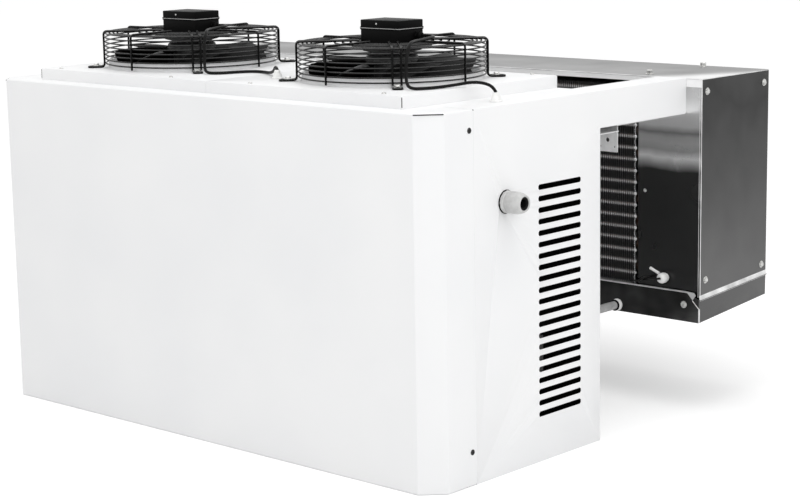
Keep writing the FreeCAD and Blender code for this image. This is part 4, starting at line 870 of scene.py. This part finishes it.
# %% Wire guards
guard_rings = ring_tree(wire_coat_and_glints)
guard_turns = turning_tree(wire_coat_and_glints)


def stack(work, count, radius, step, rise, height, sides=72):
    """Adds a stack of guard rings."""
    return grow(work, guard_rings, {"Rings": count, "First Radius": radius, "Radius Step": step,
                                    "Height Step": rise, "Wire Radius": 1.5, "Sides": sides},
                place=Matrix.Translation((0, 0, height)))


def guard_loop():
    """One foot's wire: out from the hub, down, round the screw and back."""
    there = eased([(58, 7.5, 728), (170, 7.5, 728), (170, 7.5, 660.1), (198, 7.5, 660.1)], 7.0)
    turn = [(200.0, 5.5, 660.1), (200.6, 2.5, 660.1), (200.6, -2.5, 660.1), (200.0, -5.5, 660.1)]
    back = [Vector((p.x, -p.y, p.z)) for p in reversed(there)]
    return raw_mesh(wire(bmesh.new(), there + turn + back, 2.0))


def guard(centre, degrees):
    """The whole guard of one fan."""
    work = stack(bmesh.new(), 7, 167.0, 0.0, 8.26, 667.0)
    stack(work, 4, 143.6, 7.8, 0.0, 724.8)
    stack(work, 4, 60.0, 14.0, 0.0, 724.8, 64)
    spoke = wire(bmesh.new(), eased([(58, 0, 728), (170, 0, 728), (170, 0, 661)], 7.0), 2.0)
    grow(work, guard_turns, {"Copies": 4, "First Turn": math.radians(45)}, guard_loop())
    grow(work, guard_turns, {"Copies": 4, "First Turn": 0.0}, raw_mesh(spoke))
    place = Matrix.Translation((centre, fan_row, 0))
    return move(work, place @ Matrix.Rotation(math.radians(degrees), 4, "Z"))


for side, centre, degrees in (("right", fan_middle, 0), ("left", -fan_middle, 6)):
    set_piece("guard_" + side, guard(centre, degrees), wire_coat_and_glints, "black_wire", "fan_guard_" + side,
              soft_angle=50.0)


# %% [markdown]
# ## Fan blades and rotors
# The blades are sickle-shaped sheets: steep and narrow at the hub, flat and wide at the tip, and swept
# back. One blade is a small grid of points whose chord, pitch and sweep change from root to tip. The tree
# that turned the guard's loops turns the blades as well.

# %% Fan blades and rotors
blade_turns = turning_tree(fan_skin)
root_radius, tip_radius, blade_height = 45.5, 149.6, 672.0
stations, spans = 9, 12


def blade_point(i, k, side):
    """A point of the blade's upper or lower side."""
    share = i / (stations - 1)
    across = k / (spans - 1) - 0.5
    radius = root_radius + share * (tip_radius - root_radius)
    chord = 62 + share * 54
    pitch = math.radians(38 - share * 16)
    thick = side * (0.35 + 0.7 * (1 - (2 * abs(across)) ** 6))
    camber = 7.0 * (1 - 4 * across * across)
    climb = across * chord * math.sin(pitch) + camber * math.cos(pitch) + thick
    run = across * chord * math.cos(pitch) - camber * math.sin(pitch)
    turn = run / radius + math.radians(20 * share ** 1.5)
    return polar(radius, turn, blade_height + climb)


def one_blade():
    """A cambered blade as a closed sheet, about the Z axis."""
    work = bmesh.new()
    rims = []
    for side in (1.0, -1.0):
        grid = [[work.verts.new(blade_point(i, k, side)) for k in range(spans)] for i in range(stations)]
        for i in range(stations - 1):
            for k in range(spans - 1):
                work.faces.new((grid[i][k], grid[i][k + 1], grid[i + 1][k + 1], grid[i + 1][k]))
        rims.append(grid[0] + [row[-1] for row in grid[1:]] + grid[-1][-2::-1]
                    + [row[0] for row in grid[-2:0:-1]])
    skin(work, rims)
    return raw_mesh(work)


can_foot = 644.0


def rotor_can():
    """The turning half of the motor that carries the blades, with ribs round its side."""
    work = spin(bmesh.new(), [(0, can_foot), (43, can_foot), (46, 645.5), (47, 648), (47, 697), (46.2, 700),
                              (43.5, 702.4), (40, 703.2), (18, 703.2), (18, 702), (7.5, 702), (7.5, 700.5),
                              (0, 700.5)], 48)
    return ribs(work, 12, (44, -1.4, 652), (48.2, 1.4, 694), 0.5, 1)


def set_rotor(prefix, side, place, blades):
    """Blades and can of one fan, which turn together."""
    body = prefix + "fan_" + side
    work = grow(bmesh.new(), blade_turns, {"Copies": blades, "First Turn": 0.0}, one_blade())
    set_piece(prefix + "rotor_" + side, move(work, place), fan_skin, "fan_black",
              prefix + "fan_impeller_" + side, body=body, soft_angle=35.0)
    set_piece(prefix + "rotor_can_" + side, move(rotor_can(), place), can_paint, "motor_grey", body=body,
              soft_angle=35.0)


for side, sign in (("right", 1), ("left", -1)):
    set_rotor("", side, Matrix.Translation((sign * fan_middle, fan_row, 0)), 7)


# %% [markdown]
# ## Motors and terminal boxes
# The fixed half of each motor hangs under the guard's middle: a flat flange, a neck and the shaft. On top
# sits a black box with a lid, four lid screws, and a small gland for the cable.

# %% Motors
def motor(centre):
    """Flange with a stepped underside, and the shaft."""
    place = Matrix.Translation((centre, fan_row, 0))
    work = spin(bmesh.new(), [(0, 706.5), (40, 706.5), (44, 708), (52, 710), (58, 714), (70, 715.4),
                              (71.5, 716.6), (71.5, 721.6), (70.4, 722.7), (0, 722.7)], 64, place)
    return spin(work, [(0, 650.2), (5.4, 650.2), (6, 650.8), (6, 705.5), (0, 705.5)], 24, place)


for side, sign in (("right", 1), ("left", -1)):
    set_piece("motor_" + side, motor(sign * fan_middle), motor_paint, "motor_grey", "fan_motor_" + side)


# %% Terminal boxes and lids
def centred(work, centre, reach_x, reach_y, low, high, edge, steps):
    """Adds a box with rounded edges whose middle is over a fan."""
    block(work, (centre - reach_x, fan_row - reach_y, low), (centre + reach_x, fan_row + reach_y, high),
          edge, steps)


lids, studs, gaskets = bmesh.new(), bmesh.new(), bmesh.new()
for side, centre in (("right", fan_middle), ("left", -fan_middle)):
    case = bmesh.new()
    centred(case, centre, 46, 32, 722.9, 748.2, 1.6, 3)
    centred(case, centre, 46.8, 32.8, 746.6, 748.9, 0.6, 1)
    outlet = along((1, 0, 0), (centre + 46, fan_row + 16, 735.9))
    spin(case, [(0, -1), (8.2, -1), (8.2, 2.4), (7.4, 3), (6.6, 3), (6.6, 4), (0, 4)], 6, outlet)
    spin(case, [(0, 3.5), (6.6, 3.5), (7.0, 4.2), (7.0, 9.2), (6.2, 10.8), (4.2, 12), (3.4, 12), (0, 12)], 20,
         outlet)
    set_piece("terminal_body_" + side, case, box_plastic, "box_black", "terminal_box_" + side)
    centred(lids, centre, 46.9, 32.9, 749.7, 751.6, 0.6, 1)
    centred(lids, centre, 46.2, 32.2, 750, 763.9, 1.8, 3)
    for x in (centre - 37, centre + 37):
        for y in (fan_row - 23, fan_row + 23):
            spin(lids, [(0, 760), (3.6, 760), (3.6, 763.8), (3.0, 763.9), (1.9, 763.9), (1.7, 762.6),
                        (0, 762.6)], 16, Matrix.Translation((x, y, 0)))
    spin(studs, [(0, -1), (1.9, -1), (1.9, 0.2), (1.2, 0.7), (0, 0.8)], 14,
         along((0, -1, 0), (centre - 7.6, fan_row - 32.2, 757)))
    centred(gaskets, centre, 47, 33, 748.8, 749.8, 0.3, 1)
set_piece("terminal_covers", lids, box_plastic, "box_black", "terminal_lids")
set_piece("lid_studs", studs, zinc, "zinc")
set_piece("lid_gaskets", gaskets, gland_plastic, "gland_white")


# %% [markdown]
# ## Screws
# Most visible screws are a hexagon head on a flange or a washer, with a domed top. Each kind of head is
# modelled once and a tree copies it onto marked points. Each point carries the direction that its screw
# faces, and a fixed seed turns each head a little, as no two screws stop at the same angle.

# %% Tree that sets screws
def screw_tree(finish):
    """A head at every point, along the point's facing, turned by a seeded amount."""
    tree, given = new_tree("screws_on_points", {"Head": ("Object", None), "Seed": ("Int", 7),
                                                "Size": ("Float", 1.0)})
    head = add_node(tree, "GeometryNodeObjectInfo", {"Object": given["Head"]})
    marked = add_node(tree, "GeometryNodeInputNamedAttribute", {"Name": "facing"}, data_type="FLOAT_VECTOR")
    aim = add_node(tree, "FunctionNodeAlignRotationToVector", {"Vector": marked}, axis="Z")
    chance = add_node(tree, "FunctionNodeRandomValue", {3: 1.05, "Seed": given["Seed"]}, data_type="FLOAT")
    own_turn = add_node(tree, "FunctionNodeAxisAngleToRotation",
                        {"Axis": (0, 0, 1), "Angle": chance.outputs[1]})
    both = add_node(tree, "FunctionNodeRotateRotation", {"Rotation": aim, "Rotate By": own_turn},
                    rotation_space="LOCAL")
    copies = add_node(tree, "GeometryNodeInstanceOnPoints", {
        "Points": given["Geometry"], "Instance": head.outputs["Geometry"], "Rotation": both,
        "Scale": given["Size"]})
    return close_tree(tree, copies, finish)


heads = {
    "hexagon on its own flange": [
        ([(0, 0), (5.6, 0), (5.6, 0.6), (4.9, 1.0), (0, 1.0)], 20),
        ([(0, 0.8), (4.3, 0.8), (4.5, 1.2), (4.5, 2.7), (4.0, 3.1), (2.4, 3.4), (0, 3.45)], 6)],
    "hexagon on a loose washer": [
        ([(0, 0), (6.8, 0), (6.8, 0.6), (6.3, 0.9), (0, 0.9)], 24),
        ([(0, 0.8), (4.9, 0.8), (5.1, 1.2), (5.1, 2.8), (4.5, 3.2), (2.4, 3.4), (0, 3.45)], 6)],
    "flange that holds both wires of a foot": [
        ([(0, 0), (3, 0), (3, 4.4), (8.6, 4.4), (8.8, 5.2), (6.2, 5.9), (0, 5.9)], 24),
        ([(0, 5.6), (5.0, 5.6), (5.2, 6.0), (5.2, 7.6), (4.4, 8.3), (0, 8.6)], 6)],
    "tall bolt on its washer": [
        ([(0, 0), (8.0, 0), (8.0, 0.9), (7.2, 1.3), (0, 1.3)], 24),
        ([(0, 1.2), (5.6, 1.2), (5.9, 1.8), (5.9, 7.2), (5.2, 7.9), (2.4, 8.2), (0, 8.3)], 6)],
    "flat head with a round recess": [
        ([(0, 0), (5.0, 0), (4.9, 0.6), (4.2, 1.2), (2.1, 1.35), (1.7, 0.5), (0, 0.5)], 18)]}


def set_screws(name, head, spots, node, seed, size=1.0, finish=zinc, slot="zinc"):
    """Copies of one head on all spots, as one piece."""
    pattern = bmesh.new()
    for profile, sides in heads[head]:
        spin(pattern, profile, sides)
    pattern = stand(name + "_head", raw_mesh(pattern))
    points = bpy.data.meshes.new("marks")
    points.from_pydata([point for point, direction in spots], [], [])
    layer = points.attributes.new("facing", "FLOAT_VECTOR", "POINT")
    for item, (point, direction) in zip(layer.data, spots):
        item.vector = direction
    work = grow(bmesh.new(), screw_tree(finish), {"Head": pattern, "Seed": seed, "Size": size}, points)
    bpy.data.objects.remove(pattern)
    set_piece(name, work, finish, slot, node)


# %% Screws in their places
up, to_the_front = (0, 0, 1), (0, -1, 0)
foot_radius = 186
guard_spots = []
for sign, turn in ((1, 0), (-1, 6)):
    for i in range(4):
        angle = math.radians(turn + 45 + 90 * i)
        guard_spots.append(((sign * fan_middle + foot_radius * math.cos(angle),
                             fan_row + foot_radius * math.sin(angle), deck_top), up))
deck_spots = [((sign * fan_middle + step * 160, y, deck_top), up)
              for sign in (1, -1) for step in (1, -1) for y in (-176, 218)]
cover_spots = [((sign * housing_side, -130, z), (sign, 0, 0)) for sign in (1, -1) for z in (59, 602)]
box_spots, lid_spots, strip_spots = [], [], []
for sign, x in box_ends:
    box_spots += [((x, y, z), (sign, 0, 0)) for y in (512, 707) for z in (612, 256)]
    box_spots.append(((x - sign * 34, 491, 207.5), to_the_front))
    lid_spots += [((x - sign * 139, y, box_top), up) for y in (525, 707)]
    strip_spots.append(((x - sign * 127, box_front, 417), to_the_front))
set_screws("foot_screws", "flange that holds both wires of a foot", guard_spots, "guard_screws", 11)
set_screws("roof_screws", "hexagon on its own flange", deck_spots, "deck_screws", 12, 0.8)
set_screws("side_screws", "flat head with a round recess", cover_spots, "cover_screws", 13, 1.0, dark_screw,
           "dark_screw")
set_screws("box_screws", "hexagon on a loose washer", box_spots, "evaporator_screws", 14)
set_screws("lid_screws", "tall bolt on its washer", lid_spots, "evaporator_screws", 15)
set_screws("strip_screws", "hexagon on its own flange", strip_spots, "evaporator_screws", 16, 0.62)


# %% [markdown]
# ## The cable gland
# A body with flats clamps the panel on a black seal, and a finely ribbed dome nut squeezes a rubber insert
# round the cable. Nothing is fitted yet, so the dark mouth is open. Both are turned shapes: with few sides
# for the flats and many for the dome.

# %% Cable gland
gland_place = along((1, 0, 0), (housing_side + 1.5, -36.5, 473))
drain_place = (418, 491, 188)
body = spin(bmesh.new(), [(11.5, -14), (14, -14), (14, 0.0), (18.6, 0), (19.5, 1.0), (19.5, 6.6), (18.4, 7.8),
                          (11.5, 7.8)], 12, gland_place)
set_piece("gland_hexagon", body, gland_plastic, "gland_white", "gland_body", soft_angle=25.0)
dome = spin(bmesh.new(), [(11.5, 8.2), (17.8, 8.2), (18.3, 9.2), (18.3, 27), (18.0, 29.5), (17.3, 32.2),
                          (16.4, 35.0), (15.4, 37.2), (14.5, 38.8), (13.6, 39.6), (12.7, 39.4), (11.5, 38.0)],
            48, gland_place)
ribs(dome, 18, (17.4, -1.1, 10.5), (18.7, 1.1, 27.5), 0.5, 2, gland_place)
set_piece("gland_dome", dome, gland_plastic, "gland_white", "gland_nut")
insert = spin(bmesh.new(), [(8.2, 16), (11.4, 15), (11.4, 37.6), (9.4, 37.1), (8.2, 35.8)], 40, gland_place)
set_piece("gland_insert", insert, seal_rubber, "seal_black")
seal = spin(bmesh.new(), [(14.2, 0), (20.0, 0), (20.4, 0.6), (20.1, 1.45), (14.2, 1.45)], 48,
            along((1, 0, 0), (housing_side, -36.5, 473)))
spin(seal, [(8.1, -12), (10.6, -12), (11, -11.5), (11, -9.5), (10.6, -9.05), (8.1, -9.05)], 40,
     along((0, 1, 0), drain_place))
set_piece("seal_rings", seal, seal_rubber, "seal_black", "sealing_rings")


# %% [markdown]
# ## Grommets
# The cables enter the housing through soft white cones with a rim. Two grooves let the cone bend with
# the cable.

# %% Grommets
work = bmesh.new()
for place in ((530, -12, housing_top), (84, -88, deck_top)):
    spin(work, [(0, 0), (10.4, 0), (11, 0.6), (11, 2.4), (10.2, 3), (8.6, 3.4), (8.3, 6.0), (7.6, 6.4),
                (7.8, 7.4), (7.0, 9.6), (6.4, 10.0), (6.5, 11.0), (5.8, 13.4), (5.0, 15.4), (4.2, 16),
                (0, 16)], 32,
         Matrix.Translation(place))
set_piece("entry_cones", work, grommet_plastic, "grommet_white", "cable_grommets")


# %% [markdown]
# ## The coil
# A coil is a row of many thin fins, here 180, on rows of tubes. Each fin is pressed into ripples at the pitch
# of the tubes, so its front edge catches the light in bands, and the fin finish paints lighter bands at the
# same heights as painted highlight. One rippled fin is made, and a tree lines up copies of it.

# %% Evaporator coil
coil_near, coil_deep, coil_low, coil_high = 497.2, 597.2, 229.0, 616.0
fin_count, fin_pitch, tube_count = 180, 5.0, 17
tube_rows = [coil_near + 18 + row * 32 for row in range(3)]


def tube_wave(z):
    """A wave that peaks at the height of every tube."""
    return math.cos(full_turn * (z - first_tube) / tube_pitch)


def rippled_fin(x):
    """A thin fin whose front edge widens to a small bright collar at the height of every tube."""
    work = bmesh.new()
    steps = 106
    rows = []
    for i in range(steps + 1):
        z = coil_low + (coil_high - coil_low) * i / steps
        collar = max(0.0, tube_wave(z)) ** 3
        half = 0.34 + 1.0 * collar
        front = coil_near + 1.0 - collar
        rows.append([work.verts.new((x + offset, y, z)) for offset, y in (
            (-half, front), (half, front), (0.12, front + 2.5), (0.12, coil_deep), (-0.12, coil_deep),
            (-0.12, front + 2.5))])
    skin(work, rows, capped=True)
    return raw_mesh(work)


fins = grow(bmesh.new(), row_tree(fin_metal), {"Copies": fin_count, "Step": (fin_pitch, 0.0, 0.0)},
            rippled_fin(-447.0))
set_piece("coil_fins", fins, fin_metal, "fin_dark", "evaporator_fins")

tubes = bmesh.new()
for y in tube_rows:
    for i in range(1, tube_count + 1):
        wire(tubes, [(-466, y, first_tube + i * tube_pitch), (452, y, first_tube + i * tube_pitch)], 4.8)
set_piece("coil_tubes", tubes, copper, "copper", "evaporator_tubes", soft_angle=35.0)


def return_bend():
    """One bright bend that joins two tubes, with a small collar at each end."""
    half = tube_pitch / 2
    arc = [(451 + 8.5 * math.sin(math.pi * k / 8), 0, half - half * math.cos(math.pi * k / 8))
           for k in range(9)]
    work = wire(bmesh.new(), arc, 3.6)
    for z in (0, tube_pitch):
        spin(work, [(0, 0), (5.2, 0), (5.2, 1.6), (0, 1.6)], 12, along((1, 0, 0), (449.4, 0, z)))
    return raw_mesh(work)


bends = bmesh.new()
bend_row = row_tree(copper)
for row, y in enumerate(tube_rows):
    grow(bends, bend_row, {"Copies": 8, "Step": (0.0, 0.0, 2 * tube_pitch)}, return_bend(),
         Matrix.Translation((0, y, first_tube + tube_pitch * (1 + row % 2))))
set_piece("return_bends", bends, copper, "copper", soft_angle=35.0)

for side, x in (("right", 453.5), ("left", -453.5)):
    # The crimped front edge of the coil's end plate: beads in a wavy row and a small boss at every tube.
    edge = bmesh.new()
    for i in range(104):
        z = coil_low + 4 + i * 3.67
        spin(edge, [(0, 0), (1.0, 0.3), (1.0, 2.0), (0, 2.3)], 6,
             along((0, 0, 1), (x + 1.5 * tube_wave(z), 497.4, z)))
    for i in range(1, tube_count + 1):
        spin(edge, [(0, 0), (3.6, 0), (3.3, 1.2), (1.8, 2.2), (0, 2.4)], 12,
             along((0, -1, 0), (x + 0.6, 498.2, first_tube + i * tube_pitch)))
    # The beads wear the bright edge finish: painted highlight.
    set_piece("coil_edge_" + side, edge, edge_highlight_steel, "stainless", soft_angle=35.0)


# %% [markdown]
# ## Small white pieces
# The sensor gland, the drain nut and the drain tube are round shapes with a few steps.

# %% Sensor gland, sleeve, drain nut and drain tube
sensor_place = along((0, -1, 0), (526, box_front, 254))
entry = spin(bmesh.new(), [(0, 0), (8.6, 0), (8.8, 0.6), (8.8, 3.4), (8.2, 4), (0, 4)], 12, sensor_place)
spin(entry, [(2.4, 4.2), (9.6, 4.2), (10.1, 5.2), (10.1, 11), (9.6, 14), (8.2, 16.8), (6.2, 18.4), (4.0, 19),
             (2.4, 18.6)], 32, sensor_place)
wire(entry, [(493, 492, 269), (500, 492, 266.2), (507, 492, 263.3), (514, 492, 260.5)], 2.9, 12)
set_piece("sensor_entry", entry, white_plastic, "nut_white", "sensor_gland")
nut = spin(bmesh.new(), [(8.1, 0), (11.0, 0), (11.6, 0.8), (11.6, 4.5), (11.1, 6.4), (10.2, 8.2), (9.4, 9),
                         (8.1, 9)], 24, along((0, -1, 0), drain_place))
set_piece("drain_collar", nut, white_plastic, "nut_white", "drain_nut", soft_angle=25.0)
hose = spin(bmesh.new(), [(6.5, 0), (8, 0), (8, 304), (6.5, 304)], 32, along((0, 1, 0), (418, 188, 188)))
set_piece("drain_pipe", hose, drain_hose, "drain_grey", "drain_tube")


# %% [markdown]
# ## Room fans
# Two fans on the back draw the room's air through the coil. They are built like the roof fans, but lie on
# their side, with a flatter guard.

# %% Room fans
room_height, room_offset, room_can_foot, room_guard_face = 435.5, 235.0, 672.0, 746.0
lie_down = Matrix.Rotation(math.radians(-90), 4, "X")


def room_guard(centre):
    """Flat wire guard on six legs."""
    work = stack(bmesh.new(), 10, 60.0, 11.3, 0.0, 0.0, 64)
    leg = wire(bmesh.new(), eased([(58, 0, -3), (165, 0, -3), (165, 0, -23.5)], 6.0), 1.8)
    grow(work, guard_turns, {"Copies": 6, "First Turn": math.radians(30)}, raw_mesh(leg))
    return move(work, Matrix.Translation((centre, room_guard_face, room_height)) @ lie_down)


def room_motor(centre):
    """Round flange in the middle of the guard, with the shaft towards the coil."""
    place = along((0, 1, 0), (centre, 0, room_height))
    work = spin(bmesh.new(), [(0, 732.8), (57, 732.8), (60.8, 733.6), (62.6, 735.5), (62.6, 738.5),
                              (61, 740.4), (0, 740.6)], 64, place)
    return spin(work, [(0, 678.7), (6, 678.7), (6, 733.5), (0, 733.5)], 24, place)


for side, centre in (("right", room_offset), ("left", -room_offset)):
    shift = Matrix.Translation((centre, room_can_foot - can_foot, room_height))
    set_rotor("room_", side, shift @ lie_down, 5)
    set_piece("room_cage_" + side, room_guard(centre), wire_coat_and_glints, "black_wire", "room_fan_guard_" + side,
              soft_angle=50.0)
    set_piece("room_drive_" + side, room_motor(centre), motor_paint, "motor_grey", "room_fan_motor_" + side)


# %% [markdown]
# ## What stays as the CAD made it
# The rest, such as the base pan and the machinery inside, has the right shape already. It gets its finish
# on the CAD node itself, which is never moved or changed.

# %% Finishes of the CAD nodes
kept = {"base_pan": galvanised, "rear_panel": white_paint, "top_panel": white_paint, "compressor": enamel,
        "compressor_feet": seal_rubber, "condenser_fins": fin_metal, "condenser_tubes": copper,
        "condenser_end_plates": galvanised, "liquid_receiver": enamel, "filter_drier": copper,
        "discharge_pipe": copper, "liquid_line": copper, "suction_line": pipe_foam,
        "electrical_box": galvanised, "arm_rail_right": satin_steel, "arm_rail_left": satin_steel,
        "evaporator_end_plates": galvanised}
for node, finish in kept.items():
    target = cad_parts[node]
    target.data.materials.clear()
    target.data.materials.append(finish)
bare = [n for n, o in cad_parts.items() if not o.hide_render and n not in kept]
print("CAD nodes kept", len(kept), "without a finish", bare)
